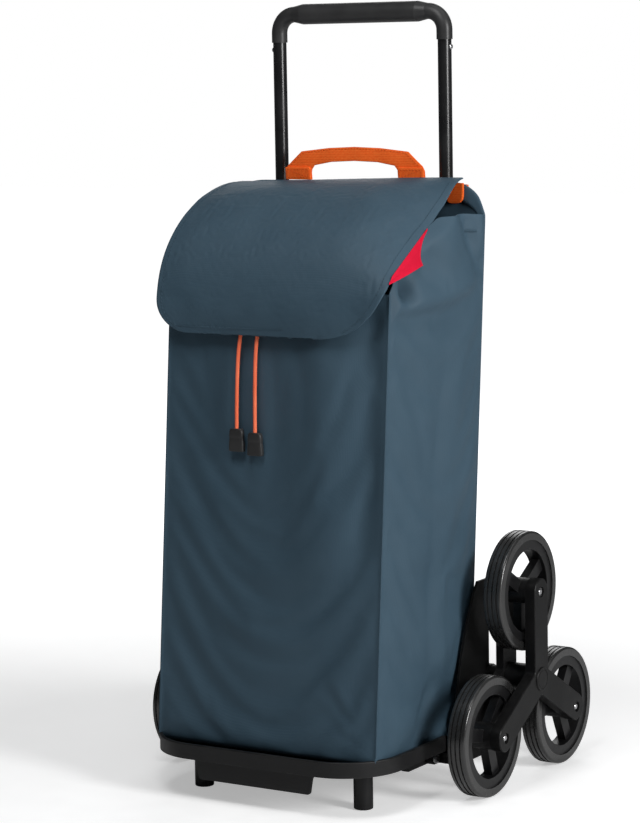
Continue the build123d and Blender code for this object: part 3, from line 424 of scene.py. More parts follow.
def read_line(name, route):
    """Points along the NURBS curve that has the route as its control points."""
    curve = bpy.data.curves.new(name, "CURVE")
    curve.dimensions = "3D"
    spline = curve.splines.new("NURBS")
    spline.points.add(len(route) - 1)
    for point, place in zip(spline.points, route):
        point.co = (*place, 1)
    spline.order_u = 3
    spline.use_endpoint_u = True
    spline.resolution_u = 24
    holder = bpy.data.objects.new(name, curve)
    line = bpy.data.meshes.new_from_object(holder)
    points = np.array([v.co for v in line.vertices])
    bpy.data.objects.remove(holder)
    return points


def even(points, step):
    """The same line in equal steps."""
    gaps = np.linalg.norm(np.diff(points, axis=0), axis=1)
    run = np.concatenate([[0], np.cumsum(gaps)])
    count = max(int(run[-1] / step), 2)
    marks = np.linspace(0, run[-1], count + 1)
    return np.stack([np.interp(marks, run, points[:, k]) for k in range(3)], axis=1), run[-1]


def new_piece(name, verts, faces, *materials):
    """An object with smooth faces, turned outwards."""
    mesh = bpy.data.meshes.new(name)
    mesh.from_pydata([tuple(map(float, v)) for v in verts], [], [tuple(map(int, f)) for f in faces])
    for material in materials:
        mesh.materials.append(material)
    shape = bmesh.new()
    shape.from_mesh(mesh)
    bmesh.ops.recalc_face_normals(shape, faces=shape.faces)
    shape.to_mesh(mesh)
    shape.free()
    mesh.polygons.foreach_set("use_smooth", [True] * len(mesh.polygons))
    piece = bpy.data.objects.new(name, mesh)
    bpy.context.scene.collection.objects.link(piece)
    return piece


def tube(name, line, radius, sides, material):
    """A closed round tube along a line. radius is a number or a function of (distance, angle)."""
    along = np.gradient(line, axis=0)
    along /= np.linalg.norm(along, axis=1)[:, None]
    side = np.cross(along[0], (1.0, 0.2, 0.1))
    side /= np.linalg.norm(side)
    angles = np.linspace(0, 2 * math.pi, sides, endpoint=False)
    verts, distance = [], 0.0
    for n, (point, ahead_of) in enumerate(zip(line, along)):
        distance += np.linalg.norm(point - line[n - 1]) if n else 0
        side = side - ahead_of * np.dot(side, ahead_of)
        side /= np.linalg.norm(side)
        other = np.cross(ahead_of, side)
        for angle in angles:
            r = radius(distance, angle) if callable(radius) else radius
            verts.append(point + r * (math.cos(angle) * side + math.sin(angle) * other))
    faces = []
    for n in range(len(line) - 1):
        for k in range(sides):
            a, b = n * sides + k, n * sides + (k + 1) % sides
            faces.append((a, b, b + sides, a + sides))
    faces += [tuple(range(sides)), tuple(len(verts) - 1 - k for k in range(sides))]
    return new_piece(name, verts, faces, material)


def braid(distance, angle):
    turn = 2 * math.pi * distance / BRAID_PITCH
    lean = math.cos(BRAID_STRANDS / 2 * (angle + turn)) * math.cos(BRAID_STRANDS / 2 * (angle - turn))
    return CORD_D / 2 * (0.95 + 0.06 * lean)


CORD_ROUTES = {
    "left": [(-34, 204.5, 690), (-38, 214, 682), (-42, 228, 655), (-46, 233, 612), (-52, 238, 560),
        (-50, 244, 474)],
    "right": [(-14, 204.5, 690), (-16, 214, 682), (-19, 228, 655), (-21, 233, 612), (-25, 238, 560),
        (-22, 244, 470)],
}
cord_lines, cord_pieces, tail_lengths = {}, {}, {}
for side, route in CORD_ROUTES.items():
    fine, length = even(read_line(f"cord_line_{side}", [at(*p) for p in route]), BRAID_STEP)
    piece = tube(f"drawcord_tail_{side}", fine, braid, BRAID_SIDES, CORD)
    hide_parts(f"drawcord_{side}")
    cord_lines[side], cord_pieces[side] = fine, piece
    tail_lengths[side] = float(length)
    print("drawcord", side, "is", round(length, 4), "m long")

# %% [markdown]
# A moulded end clamps each tail: a flat black block with soft edges, a little narrower at the top,
# with a thumb groove across it. It is made from a small cage that a subdivision surface rounds.

# %% Cord ends
def cage(name, rings, material, crease=0.0, levels=2):
    """A closed form from stacked rings of points, rounded by a subdivision surface."""
    count = len(rings[0])
    verts = [p for ring in rings for p in ring]
    faces = []
    for n in range(len(rings) - 1):
        for k in range(count):
            a, b = n * count + k, n * count + (k + 1) % count
            faces.append((a, b, b + count, a + count))
    faces += [tuple(range(count)), tuple(len(verts) - 1 - k for k in range(count))]
    piece = new_piece(name, verts, faces, material)
    rounding = piece.modifiers.new("rounding", "SUBSURF")
    rounding.levels = rounding.render_levels = levels
    return settle(piece)


def settle(piece):
    """Puts a piece's modifiers into its mesh."""
    bpy.context.view_layer.update()
    graph = bpy.context.evaluated_depsgraph_get()
    made = bpy.data.meshes.new_from_object(piece.evaluated_get(graph), depsgraph=graph)
    piece.modifiers.clear()
    piece.data = made
    return piece


END_HALF_WIDE, END_HALF_DEEP = 11.5, 4.0
END_SECTIONS = [  # below the cord's end, share of the width, share of the depth
    (-6.0, 0.55, 0.70), (-5.4, 0.72, 0.88), (-3.5, 0.86, 0.98), (4.0, 0.92, 1.0), (5.5, 0.90, 0.80),
    (8.5, 0.90, 0.80), (10.0, 0.94, 1.0), (21.5, 1.0, 1.0), (23.4, 0.99, 0.95), (24.0, 0.93, 0.80),
]
RING_AROUND = [(-1, -0.7), (-0.88, -1), (0, -1), (0.88, -1), (1, -0.7), (1, 0.7), (0.88, 1), (0, 1),
    (-0.88, 1), (-1, 0.7)]
end_pieces = {}
for side, route in CORD_ROUTES.items():
    x, ahead_mm, z = route[-1]
    rings = [
        [at(x + i * wide * END_HALF_WIDE, ahead_mm + j * deep * END_HALF_DEEP, z - drop)
         for i, j in RING_AROUND]
        for drop, wide, deep in END_SECTIONS
    ]
    end_pieces[side] = cage(f"cord_end_{side}", rings, GRIP_PLASTIC)
    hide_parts("cord_ends")
print("cord ends made")

# %% [markdown]
# The bag is one sewn shell: a flat front that leans back, two sides that widen towards the rear, and a back
# panel that rises to the flap. It is lofted as a grid. Columns go round the bag and rows go up it, and four
# columns are the sewn corners, which stay crisp. The folds are then pushed into each panel, and a short cloth
# simulation crumples the panels between the seams.

# %% Sizes of the bag
bag_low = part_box("bag_bottom")[0].z * 1000
FRONT_FOOT = (AXLE_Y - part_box("bag_front")[0].y) * 1000
REAR = (AXLE_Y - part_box("bag_rear")[1].y) * 1000
FRONT_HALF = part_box("bag_bottom")[1].x * 1000
REAR_HALF_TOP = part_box("bag_rear")[1].x * 1000
SIDE_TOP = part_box("bag_side_right")[1].z * 1000
REAR_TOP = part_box("bag_rear")[1].z * 1000
FRONT_TOP, FRONT_LEAN, SHOULDER_HALF = 655.0, 51.0, 150.0
REAR_OUTLINE = [SHOULDER_HALF, 168, 180, 188, REAR_HALF_TOP], [REAR_TOP, 783, 776, 768, 746]
FOOT_R = 6.0
PANELS = {"front": 42, "right": 32, "rear": 38, "left": 32}
BY_SEAM = (0.006, 0.016)     # extra columns beside each seam, as shares of a panel's width
ROWS = 84


def front_ahead(z):
    return FRONT_FOOT - FRONT_LEAN * (z - bag_low) / (FRONT_TOP - bag_low)


def rear_half(z):
    return FRONT_HALF + (REAR_HALF_TOP - FRONT_HALF) * (z - bag_low) / (SIDE_TOP - bag_low)


def panel_point(panel, s, z):
    """Across and ahead of a point on a panel, s of the way along it."""
    front, wide = front_ahead(min(z, FRONT_TOP + 20)), rear_half(min(z, SIDE_TOP))
    if panel == "front":
        return FRONT_HALF * (2 * s - 1), front
    if panel == "rear":
        return wide * (1 - 2 * s), REAR
    share = s if panel == "right" else 1 - s
    x = FRONT_HALF + (wide - FRONT_HALF) * share
    return (x if panel == "right" else -x), front + (REAR - front) * share


def panel_top(panel, s):
    """Height of a panel's top edge."""
    if panel == "front":
        return FRONT_TOP
    if panel == "rear":
        x = abs(REAR_HALF_TOP * (1 - 2 * s))
        return float(np.interp(x, *REAR_OUTLINE))
    share = s if panel == "right" else 1 - s
    return float(np.interp(share, [0, 0.08, 0.19, 0.45, 0.56, 0.8, 1.0],
        [FRONT_TOP, 688, 705, 733, 745, 747, 744]))


# %% Folds of each panel
def side_fold(share, z):
    """How far a side panel stands out, in mm. share goes from its front edge to its rear edge."""
    out = 6.5 * math.sin(math.pi * share) * float(smooth(60, 200, z))
    line = 0.48 + 0.10 * float(smooth(380, 640, z))
    valley = -5.0 * math.exp(-abs(share - line) / 0.07) + 2.4 * float(hump(share, line + 0.14, 0.09))
    out += valley * float(1 - smooth(520, 640, z)) * float(smooth(90, 170, z))
    rim = 634 + 34 * max(share - 0.25, 0) ** 1.4
    swell = float(smooth(rim - 8, rim + 4, z)) * float(1 - smooth(rim + 6, rim + 46, z))
    out += 9.5 * swell * float(smooth(0.0, 0.08, share)) * float(1 - smooth(0.70, 1.0, share))
    out -= (4.0 * float(hump(z, rim - 16, 14)) * float(smooth(0.0, 0.12, share))
            * float(1 - smooth(0.5, 0.9, share)))
    out -= 30.0 * float(hump(share, 0.15, 0.055)) * float(hump(z, 661, 13))
    ridge = share - (0.42 + (702 - z) * 0.0030)
    out -= 3.4 * math.exp(-abs(ridge) / 0.03) * float(hump(z, 686, 20))
    out += 4.5 * float(hump(share, 0.60, 0.14)) * float(hump(z, 705, 34))
    dent = share - (0.77 + (747 - z) * 0.0024)
    out -= 11.0 * float(hump(dent, 0, 0.09)) * float(smooth(664, 724, z))
    out += 6.0 * float(hump(share, 0.945, 0.045)) * float(hump(z, 716, 26))
    out -= 10.0 * float(hump(share, 0.27, 0.17)) * float(hump(z, 695, 25))
    out -= 4.0 * float(hump(share, 0.93, 0.07)) * float(hump(z, 680, 10))
    for height, slope, middle, amount in ((600, 120, 0.8, 3.0), (500, -160, 0.7, 2.2),
        (410, 130, 0.78, 2.4), (330, -140, 0.3, 1.8)):
        out += (amount * float(hump(z - slope * (share - middle), height, 18))
                * float(hump(share, middle, 0.2)))
    puckers = math.sin(z / 7.0 + 6 * share) * float(hump(share, 0.72, 0.14)) * float(hump(z, 105, 34))
    out += 2.4 * puckers
    out += 6.0 * float(hump(share, 0.26, 0.14)) * float(hump(z, 108, 26))
    out -= 4.5 * float(hump(share - (z - 100) * 0.0016, 0.44, 0.05)) * float(hump(z, 120, 40))
    return out


def front_fold(s, z):
    """How far the front stands out."""
    across_bow = math.sin(math.pi * s)
    out = 2.5 * across_bow * float(smooth(60, 200, z))
    standing = float(smooth(240, 400, z)) * float(1 - smooth(620, 655, z))
    out += (8.5 * float(hump(s, 0.74, 0.13)) - 5.0 * float(hump(s, 0.93, 0.055))) * standing
    for height, slope, amount, wide in ((300, 120, 2.0, 40), (470, -150, -1.8, 34), (220, -90, 1.5, 26),
        (560, 90, 1.4, 30)):
        out += amount * float(hump(z - slope * (s - 0.5), height, wide)) * across_bow
    for n, slant in enumerate((60, 105, 150, 210)):
        fan = z - 84 - slant * (0.99 - s) * 2.2
        reach = float(hump(s, 0.90 - 0.02 * n, 0.09))
        out += (2.6 if n % 2 else -2.2) * float(hump(fan, 0, 8 + 3 * n)) * reach
    out += 6.0 * float(hump(z, 84, 30)) * max(across_bow, 0.0) ** 0.5
    return out


def crumple(x, ahead_mm, z, size, amount):
    place = Vector((x / size, ahead_mm / size, z / size))
    return amount * (noise.noise(place) + 0.5 * noise.noise(place * 2.3))


WING_LIMIT = 176.5
SEAM_RIDGE = 1.1
FLAP_EDGE_TOP, FLAP_EDGE_FALL = 803.0, 0.644     # the line that the flap's side edge follows


def shell_point(panel, s, z, top):
    """A point of the outside, with its folds, in mm."""
    x, ahead_mm = panel_point(panel, s, z)
    seam = float(smooth(0.004, 0.05, s)) * float(1 - smooth(0.95, 0.996, s))
    if panel == "front":
        ahead_mm += front_fold(s, z) * max(seam, 0.0) + crumple(x, ahead_mm, z, 90, 1.6) * seam
    elif panel == "rear":
        ahead_mm += 2.0 * math.sin(math.pi * s) * float(smooth(80, 300, z)) * seam
    else:
        share = s if panel == "right" else 1 - s
        away = 1 if panel == "right" else -1
        fold = side_fold(share, z if panel == "right" else z + 25) + crumple(x, ahead_mm, z, 70, 2.2)
        x += away * fold * seam
        edge_z = FLAP_EDGE_TOP - FLAP_EDGE_FALL * (ahead_mm - REAR)
        under_flap = float(smooth(edge_z - 15, edge_z + 3, z)) * float(1 - smooth(0.66, 0.9, share))
        x -= away * (7 + 25 * share) * under_flap * float(smooth(0.0, 0.06, share))
        if z < 285 and ahead_mm < 110:
            x = away * min(abs(x), WING_LIMIT)
    if s == 0 and panel in ("front", "right") and z > bag_low + FOOT_R + 4:
        x += SEAM_RIDGE * (1 if panel == "right" else -1)
        ahead_mm += SEAM_RIDGE
    return x, ahead_mm, z


print("bag from", round(bag_low), "to", round(REAR_TOP), "mm high, front foot", round(FRONT_FOOT), "ahead")

# %% Loft the shell
def shell_columns():
    columns = []
    for panel, cells in PANELS.items():
        places = [0.0, *BY_SEAM, *[n / cells for n in range(1, cells)],
            *[1 - gap for gap in reversed(BY_SEAM)]]
        columns += [(panel, place) for place in places]
    return columns


COLUMNS = shell_columns()
CORNER_COLUMNS = [n for n, (_, s) in enumerate(COLUMNS) if s == 0]
HEM = 22.0


def loft_shell():
    """Rows of points from the middle of the bottom, out and up to the hem, and back down inside it."""
    middle = ((FRONT_FOOT + REAR) / 2)
    rows = []
    foot = [panel_point(panel, s, bag_low) for panel, s in COLUMNS]
    for share in (0.25, 0.5, 0.75, 0.93):
        rows.append([(x * share, middle + (a - middle) * share, bag_low + 0.3) for x, a in foot])
    for degrees in (0, 30, 60):
        inset = FOOT_R * (1 - math.sin(math.radians(degrees)))
        lift = FOOT_R * (1 - math.cos(math.radians(degrees)))
        row = []
        for x, a in foot:
            shrink_x, shrink_a = 1 - inset / FRONT_HALF, 1 - inset / (FRONT_FOOT - middle)
            row.append((x * shrink_x, middle + (a - middle) * shrink_a, bag_low + lift))
        rows.append(row)
    for n in range(ROWS + 1):
        row = []
        for panel, s in COLUMNS:
            top = panel_top(panel, s)
            z = bag_low + FOOT_R + (top - bag_low - FOOT_R) * n / ROWS
            row.append(shell_point(panel, s, z, top))
        rows.append(row)
    outer = rows[-1]
    for inset, drop in ((1.0, -1.2), (2.6, -0.6), (3.4, 2.0), (3.6, HEM / 2), (3.8, HEM)):
        row = []
        for x, a, z in outer:
            toward_x, toward_a = -x, middle - a
            length = math.hypot(toward_x, toward_a)
            row.append((x + toward_x / length * inset, a + toward_a / length * inset, z - drop))
        rows.append(row)
    return rows


shell_rows = loft_shell()
across = len(COLUMNS)
shell_verts = [at(*p) for row in shell_rows for p in row]
shell_faces = [
    (r * across + c, r * across + (c + 1) % across, (r + 1) * across + (c + 1) % across, (r + 1) * across + c)
    for r in range(len(shell_rows) - 1)
    for c in range(across)
]
shell_faces.append(tuple(range(across - 1, -1, -1)))
bag = new_piece("bag_shell", shell_verts, shell_faces, CLOTH)
FIRST_WALL_ROW = 7
print("bag grid", across, "by", len(shell_rows), "points")

# %% [markdown]
# The cloth simulation: the seams, the foot and the hem are pinned, the cloth between them is made
# about one per cent too long, and a weak pressure fills the bag. The spare length has to go
# somewhere, so it buckles into small wrinkles. A cap keeps every point near its place.

# %% Crumple the bag by simulation
SIM_STEPS = 16
SIM_CAP = 0.003


def crumple_by_cloth(piece, held, steps, pressure, spare):
    """Runs Cloth on the piece and keeps its result, no point further than the cap from its place."""
    group = piece.vertex_groups.new(name="held")
    for n, weight in enumerate(held):
        group.add([n], float(weight), "REPLACE")
    cloth = piece.modifiers.new("cloth", "CLOTH")
    cloth.settings.quality = 5
    cloth.settings.mass = 0.15
    cloth.settings.tension_stiffness = cloth.settings.compression_stiffness = 12
    cloth.settings.shear_stiffness = 6
    cloth.settings.bending_stiffness = 0.6
    cloth.settings.vertex_group_mass = "held"
    cloth.settings.use_pressure = True
    cloth.settings.uniform_pressure_force = pressure
    cloth.settings.shrink_min = -spare
    cloth.settings.effector_weights.gravity = 0.3
    cloth.collision_settings.use_collision = False
    cloth.point_cache.frame_start, cloth.point_cache.frame_end = 1, steps
    scene = bpy.context.scene
    for step in range(1, steps + 1):
        scene.frame_set(step)
    graph = bpy.context.evaluated_depsgraph_get()
    moved = piece.evaluated_get(graph).to_mesh()
    before = np.array([v.co for v in piece.data.vertices])
    after = np.array([v.co for v in moved.vertices])
    piece.modifiers.clear()
    scene.frame_set(1)
    shift = after - before
    far = np.linalg.norm(shift, axis=1)
    shift *= np.minimum(1, SIM_CAP / np.maximum(far, 1e-9))[:, None]
    piece.data.vertices.foreach_set("co", (before + shift).ravel())
    piece.vertex_groups.clear()
    piece.data.update()
    return float(far.max()), float(np.median(far))


pinned = []
for r in range(len(shell_rows)):
    for c in range(across):
        from_corner = min(abs((c - k + across // 2) % across - across // 2) for k in CORNER_COLUMNS)
        wall = FIRST_WALL_ROW <= r < FIRST_WALL_ROW + ROWS - 2
        pinned.append(0.15 if wall and from_corner > 3 else 1.0)
moved = crumple_by_cloth(bag, pinned, SIM_STEPS, 0.6, 0.004)
print("cloth moved at most", round(moved[0], 4), "m and half of it", round(moved[1], 4), "m")

# %% Round, thicken and finish the shell
crease = bag.data.attributes.new("crease_edge", "FLOAT", "EDGE")
corner_of = {c for c in CORNER_COLUMNS}
for edge in bag.data.edges:
    a, b = edge.vertices
    upright = a % across == b % across and a % across in corner_of
    if upright and min(a, b) // across >= FIRST_WALL_ROW:
        crease.data[edge.index].value = 0.75
for points in bag.data.vertices:
    if points.co.z < 0.285 and points.co.y > AXLE_Y - 0.11:
        points.co.x = max(-WING_LIMIT / 1000, min(WING_LIMIT / 1000, points.co.x))
rounding = bag.modifiers.new("rounding", "SUBSURF")
rounding.levels = rounding.render_levels = 1
thick = bag.modifiers.new("thickness", "SOLIDIFY")
thick.thickness = 0.0011
thick.offset = -1
settle(bag)
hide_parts("bag_front", "bag_side_left", "bag_side_right", "bag_rear", "bag_bottom")
print("bag faces", len(bag.data.polygons))

# %% [markdown]
# Inside the hem, a collar of the same cloth is gathered on the drawcord. It starts at the walls and
# runs in to the mouth, and the gathers grow deeper towards the cord. A wave round the ring makes
# them. The last rows roll over the cord as its channel.

# %% Gathered collar
MOUTH_HALF, MOUTH_FRONT, MOUTH_REAR, MOUTH_Z, MOUTH_R = 128.0, 196.0, 52.0, 700.0, 40.0
GATHERS = 34
COLLAR_ROWS = 14
CHANNEL_R = 4.5


def mouth_point(x, ahead_mm):
    """The nearest place on the mouth's rounded outline."""
    middle = (MOUTH_FRONT + MOUTH_REAR) / 2
    half_a = (MOUTH_FRONT - MOUTH_REAR) / 2
    px, pa = x * MOUTH_HALF / FRONT_HALF, (ahead_mm - middle) * half_a / 97.0
    px, pa = max(-MOUTH_HALF, min(MOUTH_HALF, px)), max(-half_a, min(half_a, pa))
    ix, ia = MOUTH_HALF - MOUTH_R, half_a - MOUTH_R
    if abs(px) > ix and abs(pa) > ia:
        dx, da = abs(px) - ix, abs(pa) - ia
        reach = MOUTH_R / max(math.hypot(dx, da), 1e-6)
        px = math.copysign(ix + dx * min(reach, 1.0), px)
        pa = math.copysign(ia + da * min(reach, 1.0), pa)
    return px, middle + pa


collar_verts = []
collar_columns = across * 2
for r in range(COLLAR_ROWS + 5):
    for c in range(collar_columns):
        panel, s = COLUMNS[c // 2]
        if c % 2:
            after, s_after = COLUMNS[(c // 2 + 1) % across]
            s = (s + (s_after if after == panel else 1.0)) / 2
        top = min(panel_top(panel, s), SIDE_TOP) - HEM * 0.7
        x0, a0 = panel_point(panel, s, top)
        x0, a0 = x0 * 0.965, (FRONT_FOOT + REAR) / 2 - 20 + (a0 - (FRONT_FOOT + REAR) / 2 + 20) * 0.955
        x1, a1 = mouth_point(x0, a0)
        share = min(r / COLLAR_ROWS, 1.0)
        around = 2 * math.pi * c / collar_columns
        wave = math.sin(GATHERS * around + 1.3 * math.sin(5 * around)) * (0.4 + 5.0 * share**1.5)
        x, a = x0 + (x1 - x0) * share, a0 + (a1 - a0) * share
        z = top + (MOUTH_Z - top) * share - 16 * math.sin(math.pi * share) + wave
        if r > COLLAR_ROWS:
            roll_angle = math.radians(75 * (r - COLLAR_ROWS))
            inward = math.hypot(x, a - 124)
            x -= x / inward * CHANNEL_R * math.sin(roll_angle)
            a -= (a - 124) / inward * CHANNEL_R * math.sin(roll_angle)
            z += -CHANNEL_R * (1 - math.cos(roll_angle))
        collar_verts.append(at(x, a, z))
collar_faces = [
    (r * collar_columns + c, r * collar_columns + (c + 1) % collar_columns,
     (r + 1) * collar_columns + (c + 1) % collar_columns, (r + 1) * collar_columns + c)
    for r in range(COLLAR_ROWS + 4)
    for c in range(collar_columns)
]
# The collar is the same cloth, painted about four times darker as painted shade for the inside of the mouth.
collar = new_piece("bag_mouth_collar", collar_verts, collar_faces, CLOTH_SHADED_INSIDE)
thick = collar.modifiers.new("thickness", "SOLIDIFY")
thick.thickness = 0.0009
thick.offset = 0
settle(collar)
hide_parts("bag_collar")
print("collar gathers", GATHERS)

# %% [markdown]
# The flap is a single hemmed sheet. It is sewn to the back, lies over the mouth and hangs down the
# front, where it stands off because the cloth is stiff. Its two lower corners are rounded. The
# right-hand one is rounder. It is laid out flat first, then each point is put on the curve that the
# sheet takes, and its right-hand edge droops over the bag's side.

# %% Shape of the flap
FLAP_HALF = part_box("flap")[1].x * 1000
FLAP_LINE = [  # ahead of the axle, height, along the sheet's crest
    (29.5, 789), (40, 790), (62, 789.5), (100, 784), (132, 773.5), (165, 757),
    (192, 738), (213, 717), (230, 692),
    (240, 665), (244.5, 638), (245, 618), (243.5, 600),
]
DROOP = [0, 0.06, 0.17, 0.31, 0.44, 0.53, 0.63, 0.73, 0.82, 1], [0, 6, 26, 42, 43, 41, 33, 18, 6, 0]
DROOP_WIDE = 96.0            # how far in from the right edge the flap starts to hang over the side
FLAP_CORNERS = {"left": 46.0, "right": 90.0}
FLAP_ACROSS, FLAP_ALONG = 96, 92
SEAM_CUT = 5.0
CUT_RUN = 60.0               # how far down the sheet the cut corners reach


def line_lengths(points):
    gaps = [math.dist(a, b) for a, b in zip(points, points[1:])]
    return np.concatenate([[0], np.cumsum(gaps)])


def smooth_line(points, count):
    """A line in equal steps through the points, from a NURBS curve that passes close to them."""
    raw = read_line("flap_line", [(0, a / 1000, z / 1000) for a, z in points])
    fine, _ = even(raw, float(line_lengths([tuple(p) for p in raw])[-1]) / count)
    return fine[:, 1] * 1000, fine[:, 2] * 1000


flap_a, flap_z = smooth_line(FLAP_LINE, 200)
flap_run = line_lengths(list(zip(flap_a, flap_z)))
FLAP_LENGTH = float(flap_run[-1])


def flap_half_at(run, side):
    """Half-width of the cut sheet at a distance along it."""
    radius = FLAP_CORNERS[side]
    left_over = FLAP_LENGTH - run
    half = FLAP_HALF
    if left_over < radius:
        half = FLAP_HALF - radius + math.sqrt(max(radius**2 - (radius - left_over) ** 2, 0))
    if run < CUT_RUN:
        half = min(half, FLAP_HALF - SEAM_CUT * (1 - run / CUT_RUN))
    return half


def flap_point(x, run):
    """Where a point of the flat sheet lies."""
    ahead_mm = float(np.interp(run, flap_run, flap_a))
    z = float(np.interp(run, flap_run, flap_z))
    share = run / FLAP_LENGTH
    hang = sum(float(np.interp(share + shift, *DROOP)) for shift in (-0.03, -0.015, 0, 0.015, 0.03)) / 5
    over = min(max((x - FLAP_HALF + DROOP_WIDE) / DROOP_WIDE, 0), 1) ** 2
    under = (float(smooth(FLAP_HALF - 40, FLAP_HALF, -x)) * float(smooth(0.1, 0.3, share))
             * float(1 - smooth(0.6, 0.9, share)))
    z += 0.026 * x * float(1 - smooth(0.04, 0.36, share)) - hang * over - 2 * under
    z -= 1.6 * float(hump(share, 0.42, 0.10)) * float(hump(x, 20, 90))
    ahead_mm += 2.2 * math.sin(x / 52.0) * float(smooth(0.72, 1.0, share))
    ahead_mm += crumple(x, run, 0, 85, 1.6) * float(smooth(0.6, 0.9, share))
    z += crumple(x, run, 40, 80, 1.3) * float(1 - smooth(0.6, 0.9, share)) * float(smooth(0.02, 0.12, share))
    return min(x, FLAP_HALF + 2), ahead_mm, z


# %% Flap sheet
HEM_WIDE = 9.0


def row_run(r):
    """How far along the sheet a row lies. Rows crowd together at the round corners."""
    t = r / FLAP_ALONG
    spare = min(max((t - 0.7) / 0.3, 0), 1)
    return FLAP_LENGTH * (t if t < 0.7 else 0.7 + 0.3 * (1 - (1 - spare) ** 1.6))


def cut_point(r, c):
    """Across and along of a grid point of the flat sheet."""
    run = row_run(r)
    left, right = flap_half_at(run, "left"), flap_half_at(run, "right")
    return -left + (left + right) * c / FLAP_ACROSS, run


flap_cut = [cut_point(r, c) for r in range(FLAP_ALONG + 1) for c in range(FLAP_ACROSS + 1)]
flap_verts = [at(*flap_point(x, run)) for x, run in flap_cut]
wide = FLAP_ACROSS + 1
flap_faces = [
    (r * wide + c, r * wide + c + 1, (r + 1) * wide + c + 1, (r + 1) * wide + c)
    for r in range(FLAP_ALONG)
    for c in range(FLAP_ACROSS)
]
flap = new_piece("flap_cloth", flap_verts, flap_faces, CLOTH)


def hem_weight(x, run):
    """1 in the hem, where the cloth is doubled, and less elsewhere."""
    edge_gap = min(x + flap_half_at(run, "left"), flap_half_at(run, "right") - x, FLAP_LENGTH - run)
    return 1.0 if edge_gap < HEM_WIDE else 0.55


held = []
for n in range(len(flap.data.vertices)):
    r, c = divmod(n, wide)
    border = r < 3 or r == FLAP_ALONG or c in (0, FLAP_ACROSS)
    held.append(1.0 if border else 0.3)
moved = crumple_by_cloth(flap, held, 12, 0.0, 0.006)
print("flap moved at most", round(moved[0], 4), "m")
group = flap.vertex_groups.new(name="hem")
for n, (x, run) in enumerate(flap_cut):
    group.add([n], hem_weight(x, run), "REPLACE")
thick = flap.modifiers.new("thickness", "SOLIDIFY")
thick.thickness = 0.0024
thick.offset = -1
thick.vertex_group = "hem"
thick.thickness_vertex_group = 0.0
rounding = flap.modifiers.new("rounding", "SUBSURF")
rounding.levels = rounding.render_levels = 1
settle(flap)
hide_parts("flap")

# %% [markdown]
# Stitches are tiny raised dashes, made as short capsules and laid along a line on the surface. One function
# places them everywhere: round the flap's hem and on the webbing.

# %% Stitches
def capsule_points(start, end, out, radius):
    """A little six-sided dash between two points, sunk half into the surface."""
    along = (end - start).normalized()
    side = along.cross(out).normalized()
    up = side.cross(along)
    points = []
    for share, size in ((0.0, 0.35), (0.18, 0.9), (0.5, 1.1), (0.82, 0.9), (1.0, 0.35)):
        middle = start.lerp(end, share) + up * radius * 0.35 * size
        for k in range(6):
            angle = math.tau * k / 6
            points.append(middle + radius * size * (math.cos(angle) * side + math.sin(angle) * up))
    return points


def stitch_line(name, line, outs, material, length=3.0, gap=1.7, radius=0.38):
    """Stitches along points of a line, each with the direction out of the surface there. Millimetres."""
    line = [Vector(p) for p in line]
    run = line_lengths([tuple(p) for p in line]) * 1000
    verts, faces = [], []
    place = gap
    while place + length < run[-1]:
        ends = []
        for mark in (place, place + length):
            k = int(np.searchsorted(run, mark)) - 1
            share = (mark - run[k]) / max(run[k + 1] - run[k], 1e-9)
            ends.append((line[k].lerp(line[k + 1], share), outs[k]))
        base = len(verts)
        verts += capsule_points(ends[0][0], ends[1][0], ends[0][1], radius / 1000)
        for ring in range(4):
            for k in range(6):
                a, b = base + ring * 6 + k, base + ring * 6 + (k + 1) % 6
                faces.append((a, b, b + 6, a + 6))
        faces += [tuple(base + k for k in range(6)), tuple(base + 29 - k for k in range(6))]
        place += length + gap
    return new_piece(name, verts, faces, material)


def flap_normal(x, run):
    here = at(*flap_point(x, run))
    right = at(*flap_point(min(x + 2, FLAP_HALF), run)) - at(*flap_point(min(x + 2, FLAP_HALF) - 4, run))
    down = at(*flap_point(x, min(run + 2, FLAP_LENGTH))) - at(*flap_point(x, min(run + 2, FLAP_LENGTH) - 4))
    normal = down.cross(right).normalized()
    return here, (normal if normal.z > 0 or normal.y < 0 else -normal)


hem_path = []
for side, away in (("left", -1), ("right", 1)):
    runs = np.linspace(20, FLAP_LENGTH - HEM_WIDE, 160)
    edge_line = [(away * (flap_half_at(r, side) - HEM_WIDE), r) for r in runs if flap_half_at(r, side) > 20]
    hem_path.append(edge_line if side == "left" else edge_line[::-1])
hem_line = hem_path[0] + hem_path[1]
surface = [flap_normal(x, r) for x, r in hem_line]
flap_stitches = stitch_line("flap_hem_stitches", [p for p, _ in surface], [n for _, n in surface], THREAD)
print("hem stitch faces", len(flap_stitches.data.polygons))

# %% [markdown]
# A plain red cloth label is folded into the flap's right-hand edge, and only a triangle of it shows.
# It is a small sheet of its own: soft, a little curled, with a folded lower edge.

# %% Label in the flap's edge
TAG_CORNERS = [(134, 733), (143, 689), (233, 669), (224, 678)]
TAG_CELLS = 16
tag_sides = zip(TAG_CORNERS, TAG_CORNERS[1:] + TAG_CORNERS[:1])
TAG_AREA = abs(sum(a0 * z1 - a1 * z0 for (a0, z0), (a1, z1) in tag_sides)) / 2 / 1e6


def tag_point(u, v, lift):
    """Bilinear over the four corners, with a soft curl."""
    (a0, z0), (a1, z1), (a2, z2), (a3, z3) = TAG_CORNERS
    top_a, top_z = a0 + (a3 - a0) * u, z0 + (z3 - z0) * u
    low_a, low_z = a1 + (a2 - a1) * u, z1 + (z2 - z1) * u
    curl = 2.6 * math.sin(math.pi * u) * v + 1.2 * math.sin(2 * math.pi * v)
    return at(171.2 + 1.8 * v + curl * v + lift, top_a + (low_a - top_a) * v, top_z + (low_z - top_z) * v)


